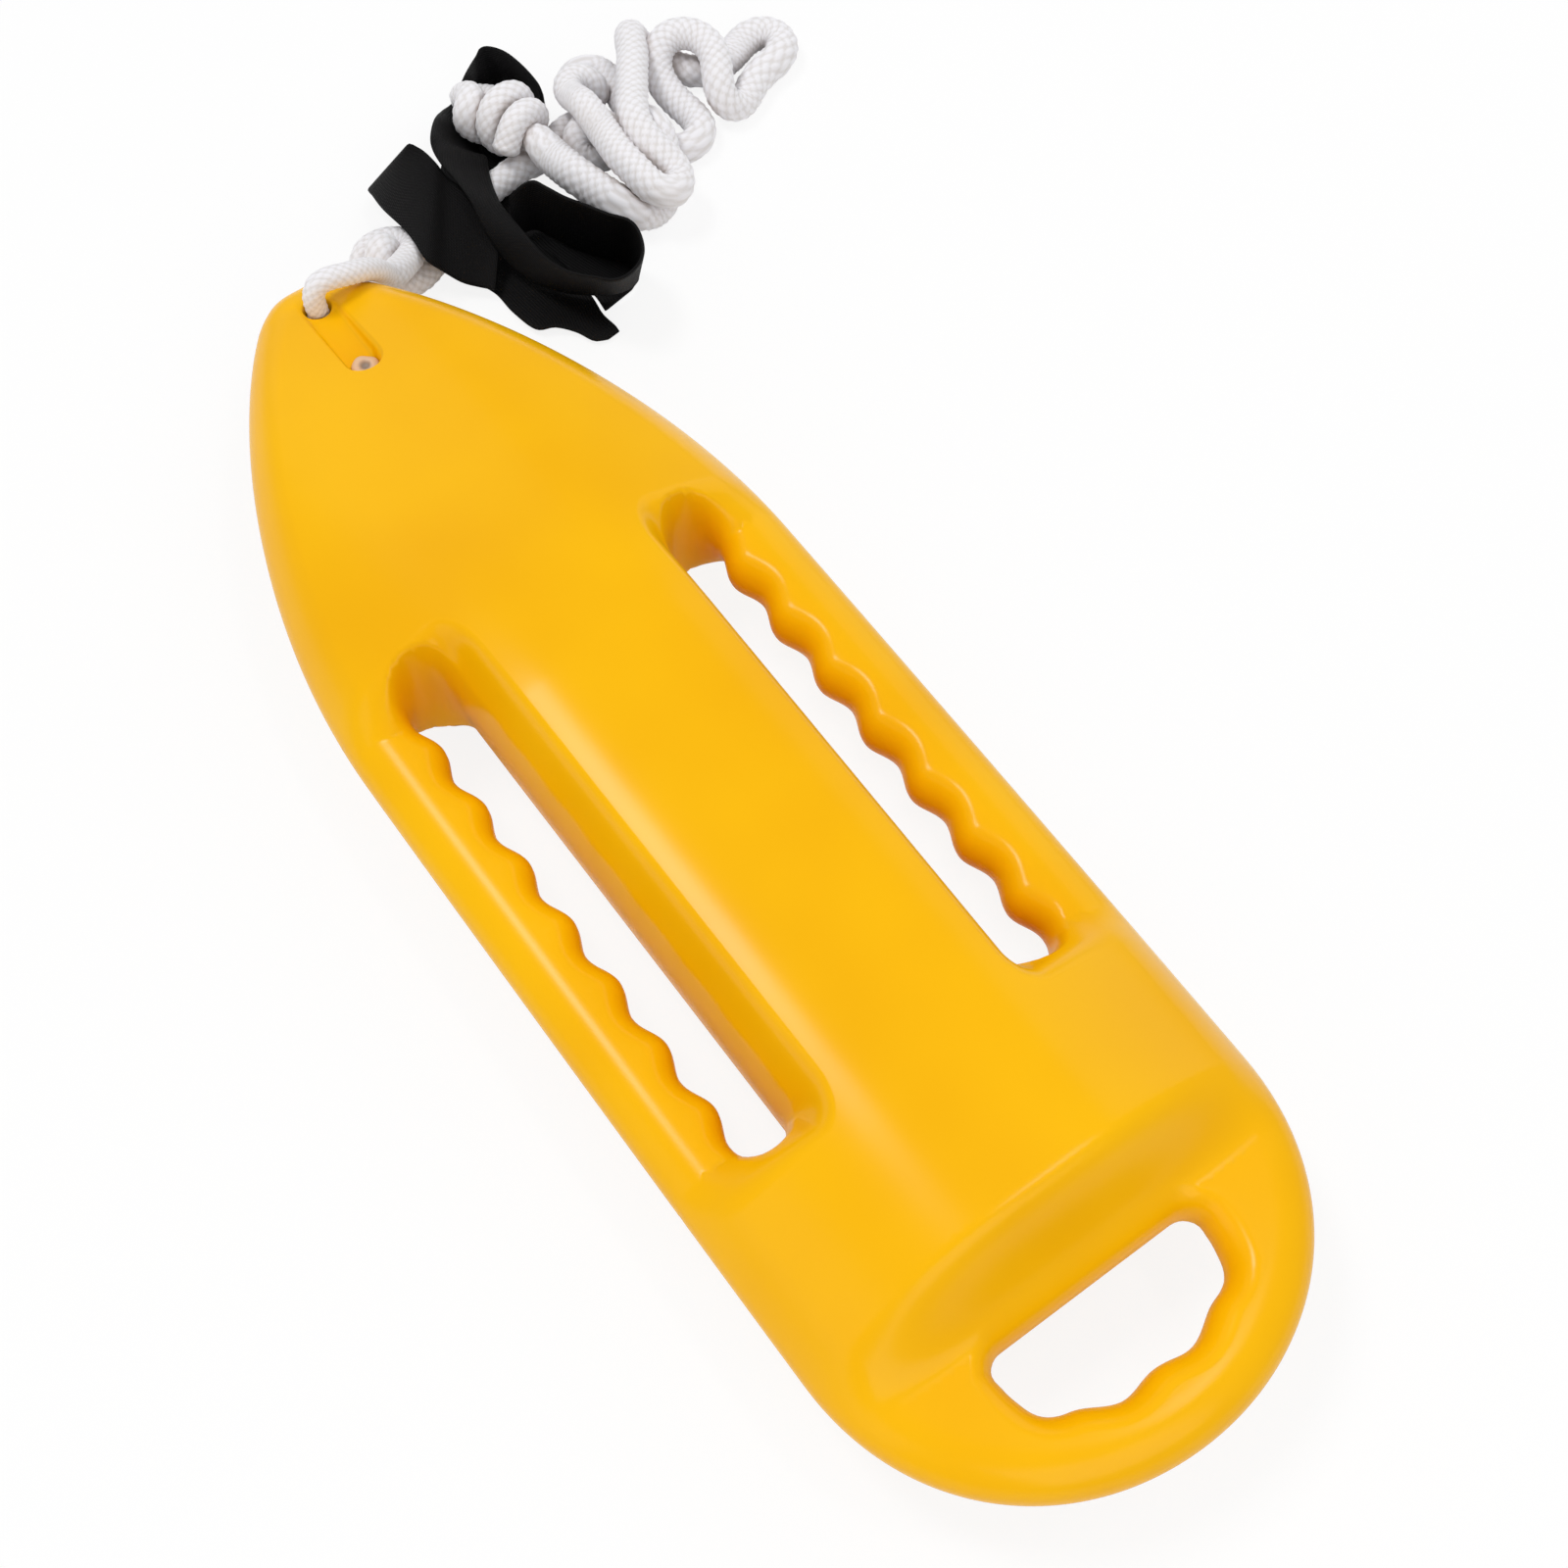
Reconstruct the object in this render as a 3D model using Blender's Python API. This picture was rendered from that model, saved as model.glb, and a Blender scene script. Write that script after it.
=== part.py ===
# Rescue buoy: a hollow moulded float with hand slots, a tow rope and a shoulder strap.
# Metres. +X is the nose, +Y the left side, +Z up. The float lies on the floor, z = 0.

import math

import bmesh
import bpy
import numpy as np
from mathutils import Vector
from mathutils.geometry import delaunay_2d_cdt

# Hull, overall
HULL_LENGTH = 0.715
HULL_WIDTH = 0.238
HULL_HEIGHT = 0.110
WALL = 0.003
EDGE_RADIUS = 0.020
HANDLE_THICKNESS = 0.032

# Hull, plan shape
TAIL_ROUND = 0.1124
TAIL_BLUNTNESS = 0.064
TAIL_SHOULDER = 0.045
TAIL_SHOULDER_DROP = 0.0025
TAIL_SIDE_DROP = 0.0019
FLANK_EASE = 0.090
FLANK_DROP = 0.0007
NOSE_TAPER = 0.267
NOSE_SHOULDER = 0.1068
NOSE_FLANK_RUN = 0.042
NOSE_FLANK_RISE = 0.038
NOSE_TIP_WIDTH = 0.060
NOSE_TIP_LENGTH = 0.0125
NOSE_TIP_CORNER = 0.0174
NOSE_TIP_FLAT = 0.0105

# Hull, crown
PLATEAU_WIDTH = 0.056
CROWN_POWER = 1.6
NOSE_SLOPE = 0.297
NOSE_SLOPE_POWER = 1.39
TAIL_SLOPE_START = 0.1145
TAIL_SLOPE = 0.0345

# Side slots
SLOT_LENGTH = 0.278
SLOT_CENTRE = -0.023
SLOT_INNER = 0.060
SLOT_WIDTH = 0.0225
SLOT_END = 0.014
SLOT_SPLAY = 0.0075
SCALLOP_PITCH = 0.0357
SCALLOP_DEPTH = 0.0026
WALL_LEAN = 0.0115
POCKET_FRONT_TURN = 0.018
POCKET_FRONT = 0.020
POCKET_REAR_TURN = 0.007
POCKET_REAR = 0.019
CORE_EDGE_RADIUS = 0.004
GRIP_EDGE_RADIUS = 0.012
GRIP_BLEND = 0.030
GRIP_END = 0.020
GRIP_END_SHARE = 0.35

# Tail hand hole
TAIL_BAR = 0.0333
HAND_HOLE_DEPTH = 0.0432
HAND_HOLE_WIDTH = 0.111
HAND_HOLE_SWEEP = 0.104
HAND_HOLE_CORNER = 0.010
HAND_HOLE_TURN = 0.006
FINGER_PITCH = 0.038
FINGER_DEPTH = 0.002
HAND_EDGE_RADIUS = 0.010
BAR_BLEND = 0.0216

NOSE_RIDGE = 0.0123
POCKET_CORNER = 2.0
RIM_SOFTNESS = 0.3

# Inside of the hull: hollow behind the nose, filled with foam through a plugged hole
HOLLOW_FRONT = 0.262
FOAM_GAP = 0.0006
FILL_X = -0.200
FILL_HOLE = 0.016
FILL_SEAT = 0.024
SEAT_DEPTH = 0.0015
PLUG_DEPTH = 0.0045

# Nose: two rope holes joined by a recess above and below
FRONT_HOLE_X = 0.333
REAR_HOLE_X = 0.2845
RECESS_LEVEL = 0.0705
RECESS_FRONT = 0.350
RECESS_WIDTH = 0.018
RECESS_FLARE = 0.003

# Rope
ROPE_DIAMETER = 0.012
HELD_ROPE = 0.0115
HOLE_CLEARANCE = 0.0005
ROPE_HOLE = HELD_ROPE + 2 * HOLE_CLEARANCE
ANCHOR_BEND = 0.008
ANCHOR_LEVEL = 0.0305
COLLAR_DIAMETER = 0.0145
COLLAR_HEIGHT = 0.0035
COLLAR_RINGS = ((0.86, 0.0), (1.0, 0.18), (1.0, 0.55), (0.86, 0.85), (0.6, 1.0), (0.34, 0.86))
LEAD_START = 0.068
LEAD_LENGTH = 0.360

# Rope route in millimetres, each point with its slack width as a share of the diameter
LEAD = (
    (333, 0, 68, 0.95), (333, 0, 79, 0.95), (333, -5, 86, 0.97), (330, -12, 88, 1.0),
    (332, -20, 82, 1.0), (335, -28, 78, 1.0), (340, -36, 69, 1.0), (345, -43, 57, 1.0),
    (351, -47, 42, 1.0), (357, -52, 31, 1.0),
)
KNOT = (
    (364, -57, 22, 1.0), (373, -65, 12, 1.0), (381, -77, 10, 1.0), (390, -80, 14, 1.0),
    (399, -76, 20, 1.0), (395, -64, 26, 1.0), (388, -53, 26, 1.0), (381, -52, 18, 1.0),
    (378, -60, 12, 1.0), (377, -69, 18, 1.0), (378, -70, 30, 1.0), (383, -65, 36, 1.0),
    (379, -54, 38, 1.0), (372, -49, 34, 1.0), (368, -50, 26, 1.0), (371, -58, 16, 1.0),
    (377, -72, 9, 1.0), (385, -88, 9, 1.0),
)
TANGLE = (
    (391, -101, 7, 1.0), (398, -122, 7, 1.05), (405, -144, 7, 1.1), (408, -162, 8, 1.15),
    (411, -181, 7, 1.2), (419, -200, 7, 1.2), (419, -216, 7, 1.2), (404, -221, 8, 1.2),
    (390, -213, 7, 1.2), (387, -198, 9, 1.2), (393, -189, 18, 1.2), (400, -192, 23, 1.2),
    (402, -205, 23, 1.2), (390, -215, 22, 1.2), (369, -221, 19, 1.2), (359, -236, 8, 1.2),
    (355, -251, 9, 1.25), (363, -261, 10, 1.3), (381, -262, 11, 1.3), (397, -259, 17, 1.3),
    (417, -259, 19, 1.3), (429, -268, 22, 1.3), (427, -279, 29, 1.3), (416, -289, 34, 1.3),
    (397, -291, 33, 1.3), (382, -286, 29, 1.3), (372, -277, 23, 1.3), (367, -278, 13, 1.3),
    (376, -296, 8, 1.3), (385, -316, 9, 1.35), (390, -334, 9, 1.4), (401, -344, 9, 1.4),
    (411, -335, 10, 1.4), (408, -317, 12, 1.4), (400, -297, 10, 1.3), (404, -278, 8, 1.3),
    (420, -264, 8, 1.3), (440, -264, 11, 1.3), (447, -266, 22, 1.3), (438, -268, 32, 1.3),
    (417, -254, 41, 1.3), (405, -237, 41, 1.3), (389, -224, 40, 1.3), (373, -223, 34, 1.3),
    (356, -225, 29, 1.3), (338, -222, 26, 1.3), (322, -219, 23, 1.3), (313, -212, 23, 1.3),
    (318, -205, 33, 1.35), (335, -204, 40, 1.35), (357, -205, 41, 1.35), (382, -206, 40, 1.3),
    (403, -203, 36, 1.15), (421, -202, 32, 1.1), (434, -208, 30, 1.1), (434, -219, 28, 1.1),
    (425, -224, 23, 1.1), (417, -223, 17, 1.1), (430, -221, 7, 1.1), (445, -220, 8, 1.15),
    (451, -235, 9, 1.2), (442, -244, 8, 1.2), (422, -237, 8, 1.2), (400, -231, 8, 1.2),
    (365, -224, 19, 1.3), (348, -229, 9, 1.3), (332, -223, 9, 1.35), (322, -207, 11, 1.4),
    (318, -196, 14, 1.5), (322, -193, 23, 1.55), (334, -187, 27, 1.6), (351, -181, 27, 1.6),
    (372, -173, 26, 1.6), (391, -168, 25, 1.5),
)
CORE = (
    (409, -171, 22, 1.1), (433, -168, 22, 1.0), (448, -166, 22, 1.0), (457, -166, 23, 1.0),
    (468, -165, 16, 1.0), (468, -163, 10, 1.0), (458, -160, 10, 1.0),
)

# Closing turns of the rope round its own last run
WRAP_START = (0.4435, -0.1650, 0.024)
WRAP_END = (0.4072, -0.1706, 0.025)
WRAP_RADIUS = 0.0134
WRAP_TURNS = 2.35
WRAP_PHASE = 4.241
WRAP_POINTS = 24

# How the rope is laid down: hold pulls a point back to its route
LEAD_HOLD = 0.3
LOOSE_HOLD = 0.02
CORE_HOLD = 0.15
WRAP_HOLD = 0.3
ROPE_STEP = 0.006
ROPE_SPACE = 0.0016
ROPE_LEAST_BEND = 0.012
ROPE_EASE = 0.42
NEIGHBOUR_REACH = 1.6
SETTLE_TURNS = 700
SETTLE_PUSH = 1.2
SETTLE_SINK = 0.0001
SETTLE_HELD = 0.7
SETTLE_FIRM = 0.9
TOUCH_HOLD = 0.3
SHARP_GAIN = 1.5
LATE_EASE = 0.3
LENGTH_MENDS = 3
FLOOR_SPACE = 0.0002
STRAP_LIFT = 0.0026
STRAP_LIFT_FROM = -0.205
STRAP_LIFT_RAMP = 0.012
FIXED_POINTS = 4
STRAIGHT_POINTS = 2

# Shoulder strap, folded, in two runs of webbing: both of its edges in millimetres
STRAP_THICKNESS = 0.002
LOOP_RUNGS = (
    ((431, -195, 1), (429, -193, 26)), ((436, -195, 1), (433, -193, 31)),
    ((448, -195, 1), (443, -191, 36)), ((461, -192, 1), (456, -188, 38)),
    ((470, -186, 1), (465, -183, 38)), ((468, -179, 1), (467, -178, 38)),
    ((468, -175, 1), (469, -175, 32)), ((458, -173, 1), (479, -171, 12)),
    ((449, -168, 1), (474, -159, 3)), ((442, -161, 1), (466, -147, 9)),
    ((437, -153, 1), (448, -134, 26)), ((427, -149, 4), (430, -122, 36)),
    ((415, -146, 16), (420, -117, 37)), ((400, -139, 20), (408, -115, 37)),
    ((384, -133, 24), (393, -115, 37)), ((368, -129, 28), (376, -114, 36)),
    ((344, -127, 33), (364, -113, 27)), ((319, -125, 38), (349, -115, 16)),
    ((302, -126, 43), (330, -121, 10)), ((292, -129, 46), (317, -131, 7)),
    ((284, -134, 48), (306, -141, 8)), ((276, -140, 49), (299, -151, 8)),
    ((274, -148, 49), (298, -160, 6)), ((277, -158, 49), (300, -167, 4)),
    ((285, -166, 48), (303, -171, 3)), ((297, -171, 48), (308, -173, 2)),
    ((307, -171, 47), (316, -173, 2)), ((316, -164, 48), (325, -166, 2)),
    ((328, -158, 48), (336, -159, 2)), ((339, -152, 48), (346, -153, 3)),
    ((352, -148, 47), (357, -148, 4)), ((362, -146, 44), (364, -144, 5)),
    ((368, -141, 38), (364, -136, 7)), ((371, -135, 31), (360, -127, 9)),
)
TAIL_RUNGS = (
    ((361, -121, 18), (338, -102, 8)), ((373, -120, 22), (345, -96, 8)),
    ((390, -119, 28), (351, -89, 11)), ((403, -115, 30), (357, -82, 19)),
    ((411, -113.5, 35), (361, -75, 30)), ((417, -111, 40), (383, -77, 29)),
    ((421, -109, 42), (410, -77, 23)), ((424, -107, 43), (431, -80, 16)),
    ((426, -107, 41), (439, -82, 9)), ((428, -109, 36), (440, -84, 4)),
    ((429, -112, 25), (435, -86, 1)), ((425, -115, 12), (421, -87, 1)),
    ((413, -121, 3), (399, -87, 1)), ((397, -128, 1), (378, -90, 1)),
    ((379, -136, 1), (358, -97, 1)), ((359, -142, 1), (342, -103, 1)),
    ((338, -144, 2), (324, -103, 3)), ((318, -145, 2), (305, -106, 5)),
    ((305, -144, 2), (299, -115, 6)), ((293, -142, 3), (291, -123, 4)),
    ((283, -143, 3), (281, -128, 3)), ((279, -143, 2), (278, -135, 2)),
)

# Clearance between pieces that touch
GAP = 0.0003

# Mesh steps
OUTLINE_STEP = 0.015
SCALLOP_STEP = 0.006
EDGE_ANGLES = (30, 60, 90)
EDGE_PROBE = 0.001
EDGE_GAP = 0.0012
EDGE_SPREAD = 2.5
POCKET_ROWS = (0.5, 1.0, 1.35, 1.9)
SLOPE_ROWS = (0.0, 0.25, 0.5, 0.75, 1.0)
POCKET_CLOSENESS = 0.7
POCKET_GAP = 0.35
FIELD_GAP = 0.55
LEAST_RADIUS = 0.002
LEAST_LIFT = 0.0005
HOLLOW_STEP = 0.024
HOLLOW_FINE = 0.014
ROUND_SIDES = 24
ROPE_SIDES = 1
ANCHOR_SIDES = 3
STRAP_STEP = 0.006
STRAP_COLUMNS = 3
MERGE = 0.00001
SHARP_ANGLE = math.radians(50)

MID = HULL_HEIGHT / 2
NOSE_X = HULL_LENGTH / 2
TAIL_X = -HULL_LENGTH / 2
HALF_WIDTH = HULL_WIDTH / 2
SLOT_FRONT = SLOT_CENTRE + SLOT_LENGTH / 2
SLOT_REAR = SLOT_CENTRE - SLOT_LENGTH / 2
HAND_FRONT = TAIL_X + TAIL_BAR + HAND_HOLE_DEPTH
HAND_HALF = HAND_HOLE_WIDTH / 2


def clear_scene():
    for old in list(bpy.data.objects):
        bpy.data.objects.remove(old)


def material(name, colour, roughness):
    made = bpy.data.materials.new(name)
    made.use_nodes = True
    shader = made.node_tree.nodes["Principled BSDF"]
    shader.inputs["Base Color"].default_value = (*colour, 1.0)
    shader.inputs["Roughness"].default_value = roughness
    return made


def add_mesh(name, points, faces, finish=None):
    mesh = bpy.data.meshes.new(name)
    mesh.from_pydata([tuple(p) for p in points], [], [tuple(f) for f in faces])
    mesh.update()
    made = bpy.data.objects.new(name, mesh)
    bpy.context.collection.objects.link(made)
    if finish:
        mesh.materials.append(finish)
    return made


def shade_round(mesh):
    mesh.shade_smooth()
    mesh.set_sharp_from_angle(angle=SHARP_ANGLE)


def bezier(p0, p1, p2, p3, steps):
    t = np.linspace(0, 1, steps, endpoint=False)[:, None]
    corners = [np.array(p, float) for p in (p0, p1, p2, p3)]
    weights = ((1 - t) ** 3, 3 * (1 - t) ** 2 * t, 3 * (1 - t) * t * t, t ** 3)
    return sum(w * c for w, c in zip(weights, corners))


def half_outline(steps=24):
    """Left edge of the hull in plan, from the middle of the tail to the nose."""
    side = NOSE_X - NOSE_TAPER
    tip = (NOSE_X - NOSE_TIP_LENGTH, NOSE_TIP_WIDTH / 2)
    tail_side = (TAIL_X + TAIL_ROUND, HALF_WIDTH - TAIL_SIDE_DROP)
    legs = [
        ((TAIL_X, 0), (TAIL_X, TAIL_BLUNTNESS),
         (TAIL_X + TAIL_SHOULDER, HALF_WIDTH - TAIL_SHOULDER_DROP), tail_side),
        (tail_side, (TAIL_X + 2 * TAIL_ROUND, HALF_WIDTH - FLANK_DROP),
         (side - FLANK_EASE, HALF_WIDTH), (side, HALF_WIDTH)),
        ((side, HALF_WIDTH), (side + NOSE_SHOULDER, HALF_WIDTH),
         (tip[0] - NOSE_FLANK_RUN, tip[1] + NOSE_FLANK_RISE), tip),
        (tip, (NOSE_X, NOSE_TIP_CORNER), (NOSE_X, NOSE_TIP_FLAT), (NOSE_X, 0)),
    ]
    return np.vstack([bezier(*leg, steps) for leg in legs] + [[[NOSE_X, 0]]])


def resample(points, step, closed=False):
    points = np.asarray(points, float)
    if closed:
        points = np.vstack([points, points[:1]])
    runs = np.linalg.norm(np.diff(points, axis=0), axis=1)
    along = np.r_[0, np.cumsum(runs)]
    count = max(2, round(along[-1] / step) + 1)
    places = np.linspace(0, along[-1], count)
    made = np.column_stack([np.interp(places, along, points[:, k]) for k in range(points.shape[1])])
    return made[:-1] if closed else made


def outline_loop(step):
    left = resample(half_outline(), step)
    return np.vstack([left, (left * [1, -1])[::-1][1:-1]])


def grip_line(x):
    """Mean line of the scalloped edge, and of the straight edge, drift outwards to the nose."""
    return SLOT_SPLAY * (np.asarray(x, float) - SLOT_CENTRE)


def slot_loop(step, fine, grow=0.0, scallops=True):
    """One left slot, run clockwise from the rear of its straight edge."""
    mean = SLOT_INNER + SLOT_WIDTH
    depth = SCALLOP_DEPTH if scallops else 0.0
    outer = mean + SCALLOP_DEPTH + grow
    inner = SLOT_INNER - grow
    rear = SLOT_REAR - grow + SLOT_END
    front = SLOT_FRONT + grow - SLOT_END
    reach = SLOT_END
    xs = np.arange(rear, front, step)
    straight = np.column_stack([xs, np.full(len(xs), inner)])
    turns = np.linspace(-math.pi / 2, math.pi / 2, 8)[:-1]
    middle, half = (inner + outer) / 2, (outer - inner) / 2
    front_end = np.column_stack([front + reach * np.cos(turns), middle + half * np.sin(turns)])
    xs = np.linspace(front, rear, max(4, round((front - rear) / fine)))
    phase = 2 * math.pi * (xs - SLOT_CENTRE) / SCALLOP_PITCH
    wavy = np.column_stack([xs, outer - depth - depth * np.cos(phase)])
    rear_end = np.column_stack([rear - reach * np.cos(turns[1:]), middle - half * np.sin(turns[1:])])
    loop = np.vstack([straight, front_end, wavy, rear_end])
    loop[:, 1] += grip_line(loop[:, 0])
    return loop


def hand_loop(step, grow=0.0, fingers=True):
    """The tail hand hole: straight in front, arched with finger dents behind."""
    front = HAND_FRONT + grow
    half = HAND_HALF + grow
    corner = HAND_HOLE_CORNER
    base = TAIL_X + TAIL_BAR - grow - (0 if fingers else FINGER_DEPTH)
    rear_turn = half - HAND_HOLE_TURN
    ys = np.arange(-half + corner, half - corner, EDGE_SPREAD * step)
    straight = np.column_stack([np.full(len(ys), front), ys])
    quarter = np.linspace(0, math.pi / 2, 5)
    left_front = np.column_stack([front - corner + corner * np.cos(quarter),
                                  half - corner + corner * np.sin(quarter)])
    ys = np.linspace(rear_turn, -rear_turn, round(2 * rear_turn / step))
    dents = FINGER_DEPTH * np.cos(2 * math.pi * ys / FINGER_PITCH) if fingers else 0.0
    rear = np.column_stack([base + ys ** 2 / (2 * HAND_HOLE_SWEEP) + dents, ys])
    right_front = (left_front * [1, -1])[::-1]
    return np.vstack([straight, left_front, rear, right_front[:-1]])


def smooth(t):
    t = np.clip(t, 0, 1)
    return t * t * (3 - 2 * t)


def smooth_min(a, b, width):
    blend = np.clip(0.5 + 0.5 * (b - a) / width, 0, 1)
    return b * (1 - blend) + a * blend - width * blend * (1 - blend)


def edge_rise(distance, radius):
    """Height share of a round edge, from 0 at the parting line to 1 on top."""
    t = np.clip(distance / radius, 0, 1)
    return np.sqrt(1 - (1 - t) ** 2)


def loop_distance(points, loop):
    starts = np.asarray(loop)
    runs = np.roll(starts, -1, axis=0) - starts
    best = np.full(len(points), np.inf)
    for start, run in zip(starts, runs):
        along = np.clip((points - start) @ run / max(run @ run, 1e-12), 0, 1)
        best = np.minimum(best, np.linalg.norm(points - start - along[:, None] * run, axis=1))
    return best


def inside_loop(points, loop):
    x, y = points[:, 0], points[:, 1]
    odd = np.zeros(len(points), bool)
    for (x0, y0), (x1, y1) in zip(loop, np.roll(loop, -1, axis=0)):
        if y0 != y1:
            odd ^= ((y0 > y) != (y1 > y)) & (x < (x1 - x0) * (y - y0) / (y1 - y0) + x0)
    return odd


def dome(x, y, inset):
    """Crown of the hull before the hand pockets are taken out of it."""
    wing = HANDLE_THICKNESS / 2 - inset
    nose = np.clip((x - NOSE_X + NOSE_SLOPE) / NOSE_SLOPE, 0, 1)
    ridge = MID - inset - (MID - NOSE_RIDGE) * nose ** NOSE_SLOPE_POWER
    ridge = ridge - (ridge - wing) * smooth((TAIL_X + TAIL_SLOPE_START - x) / TAIL_SLOPE)
    edge = half_outline()
    half = np.interp(x, edge[:, 0], edge[:, 1]) - inset
    plateau = PLATEAU_WIDTH / 2
    across = np.clip((np.abs(y) - plateau) / np.maximum(half - plateau, WALL), 0, 1)
    return wing + np.maximum(ridge - wing, 0) * (1 - across ** CROWN_POWER)


def pocket_share(x, y, inset):
    """0 where a hand pocket is at handle level, 1 outside its rim."""
    side = np.abs(y)
    lean = np.clip((SLOT_INNER + grip_line(x) - inset - side) / WALL_LEAN, 0, None)
    front = (x - SLOT_FRONT + POCKET_FRONT_TURN - inset) / POCKET_FRONT
    rear = (SLOT_REAR + POCKET_REAR_TURN - inset - x) / POCKET_REAR
    ends = np.clip(np.maximum(front, rear), 0, None)
    share = (lean ** POCKET_CORNER + ends ** POCKET_CORNER) ** (1 / POCKET_CORNER)
    return smooth_min(share, 1.0, RIM_SOFTNESS)


def edge_radii(points, inset):
    """Edge radius of the outline, the slots and the hand hole, as seen from each point."""
    side = np.abs(points[:, 1])
    inside = np.minimum(SLOT_FRONT - points[:, 0], points[:, 0] - SLOT_REAR)
    grip = GRIP_END_SHARE + (1 - GRIP_END_SHARE) * smooth(inside / GRIP_END)
    grip = grip * smooth((side - SLOT_INNER) / GRIP_BLEND)
    slot = CORE_EDGE_RADIUS + (GRIP_EDGE_RADIUS - CORE_EDGE_RADIUS) * grip
    bar = smooth((HAND_FRONT - points[:, 0]) / BAR_BLEND)
    hand = HAND_EDGE_RADIUS + (GRIP_EDGE_RADIUS - HAND_EDGE_RADIUS) * bar
    outer = np.full(len(points), EDGE_RADIUS)
    return [np.maximum(r - inset, LEAST_RADIUS) for r in (outer, slot, slot, hand)]


def skin_height(points, loops, inset):
    x, y = points[:, 0], points[:, 1]
    wing = HANDLE_THICKNESS / 2 - inset
    top = wing + (dome(x, y, inset) - wing) * pocket_share(x, y, inset)
    for loop, radius in zip(loops, edge_radii(points, inset)):
        top = top * edge_rise(loop_distance(points, loop), radius)
    return top


def hull_loops(inset, step, fine, front=NOSE_X):
    """Outline, left slot, right slot and hand hole, each moved into the wall by inset."""
    outer = outline_loop(step)
    if inset:
        runs = np.roll(outer, -1, axis=0) - np.roll(outer, 1, axis=0)
        runs /= np.linalg.norm(runs, axis=1)[:, None]
        outer = outer + inset * np.column_stack([runs[:, 1], -runs[:, 0]])
        outer[:, 0] = np.minimum(outer[:, 0], front)
    plain = inset == 0
    left = slot_loop(step, fine, inset, plain)
    right = (left * [1, -1])[::-1]
    hand = hand_loop(fine, inset, plain)
    return [outer, left, right, hand]


def edge_rows(loops, inset):
    """Rows of points that follow each edge over its round."""
    rows = []
    for number, loop in enumerate(loops):
        runs = np.roll(loop, -1, axis=0) - np.roll(loop, 1, axis=0)
        runs /= np.linalg.norm(runs, axis=1)[:, None]
        inward = np.column_stack([runs[:, 1], -runs[:, 0]])
        probe = loop + EDGE_PROBE * inward
        into_wall = inside_loop(probe, loop) == (number == 0)
        inward[~into_wall] *= -1
        radius = edge_radii(loop, inset)[number]
        for angle in EDGE_ANGLES:
            depth = radius * (1 - math.cos(math.radians(angle)))
            row = loop + inward * depth[:, None]
            keep = np.ones(len(row), bool)
            for other in loops:
                keep &= loop_distance(row, other) > 0.9 * depth
            rows.append(row[keep])
    return rows


def pocket_rows(inset, step):
    """Points along the leaning walls and rims of the pockets."""
    rows = []
    front, rear = SLOT_FRONT - POCKET_FRONT_TURN + inset, SLOT_REAR + POCKET_REAR_TURN - inset
    xs = np.arange(rear, front, step)
    corner = np.linspace(0, math.pi / 2, 5)
    for share in POCKET_ROWS:
        ys = SLOT_INNER + grip_line(xs) - inset - share * WALL_LEAN
        rows.append(np.column_stack([xs, ys]))
        across = share * WALL_LEAN * np.cos(corner[:-1]) ** (2 / POCKET_CORNER)
        along = share * np.sin(corner[:-1]) ** (2 / POCKET_CORNER)
        for end, reach in ((front, POCKET_FRONT), (rear, -POCKET_REAR)):
            places = end + along * reach
            ys = SLOT_INNER + grip_line(places) - inset - across
            rows.append(np.column_stack([places, ys]))
            ys = SLOT_INNER + np.arange(0, 2 * SLOT_WIDTH, POCKET_CLOSENESS * step)
            rows.append(np.column_stack([np.full(len(ys), end + share * reach), ys]))
    ys = np.arange(step / 2, HALF_WIDTH, step)
    for share in SLOPE_ROWS:
        place = TAIL_X + TAIL_SLOPE_START - share * TAIL_SLOPE
        rows.append(np.column_stack([np.full(len(ys), place), ys]))
    xs = np.arange(TAIL_X + TAIL_SLOPE_START, NOSE_X - NOSE_SLOPE, step)
    rows.append(np.column_stack([xs, np.full(len(xs), PLATEAU_WIDTH / 2)]))
    return rows + [row * [1, -1] for row in rows]


def field_rows(step):
    rows = []
    for number, y in enumerate(np.arange(-HALF_WIDTH, HALF_WIDTH, step * 0.866)):
        xs = np.arange(TAIL_X + (number % 2) * step / 2, NOSE_X, step)
        rows.append(np.column_stack([xs, np.full(len(xs), y)]))
    return rows


def thin_out(rows, loops, gaps):
    """Keep the points that lie in the wall and not too near an edge or an earlier point."""
    kept = np.zeros((0, 2))
    for row, gap in zip(rows, gaps):
        row = row[inside_loop(row, loops[0])]
        for hole in loops[1:]:
            row = row[~inside_loop(row, hole)]
        for loop in loops:
            row = row[loop_distance(row, loop) > gap * 0.5]
        for point in row:
            if not len(kept) or np.min(np.linalg.norm(kept - point, axis=1)) > gap:
                kept = np.vstack([kept, point])
    return kept


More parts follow.
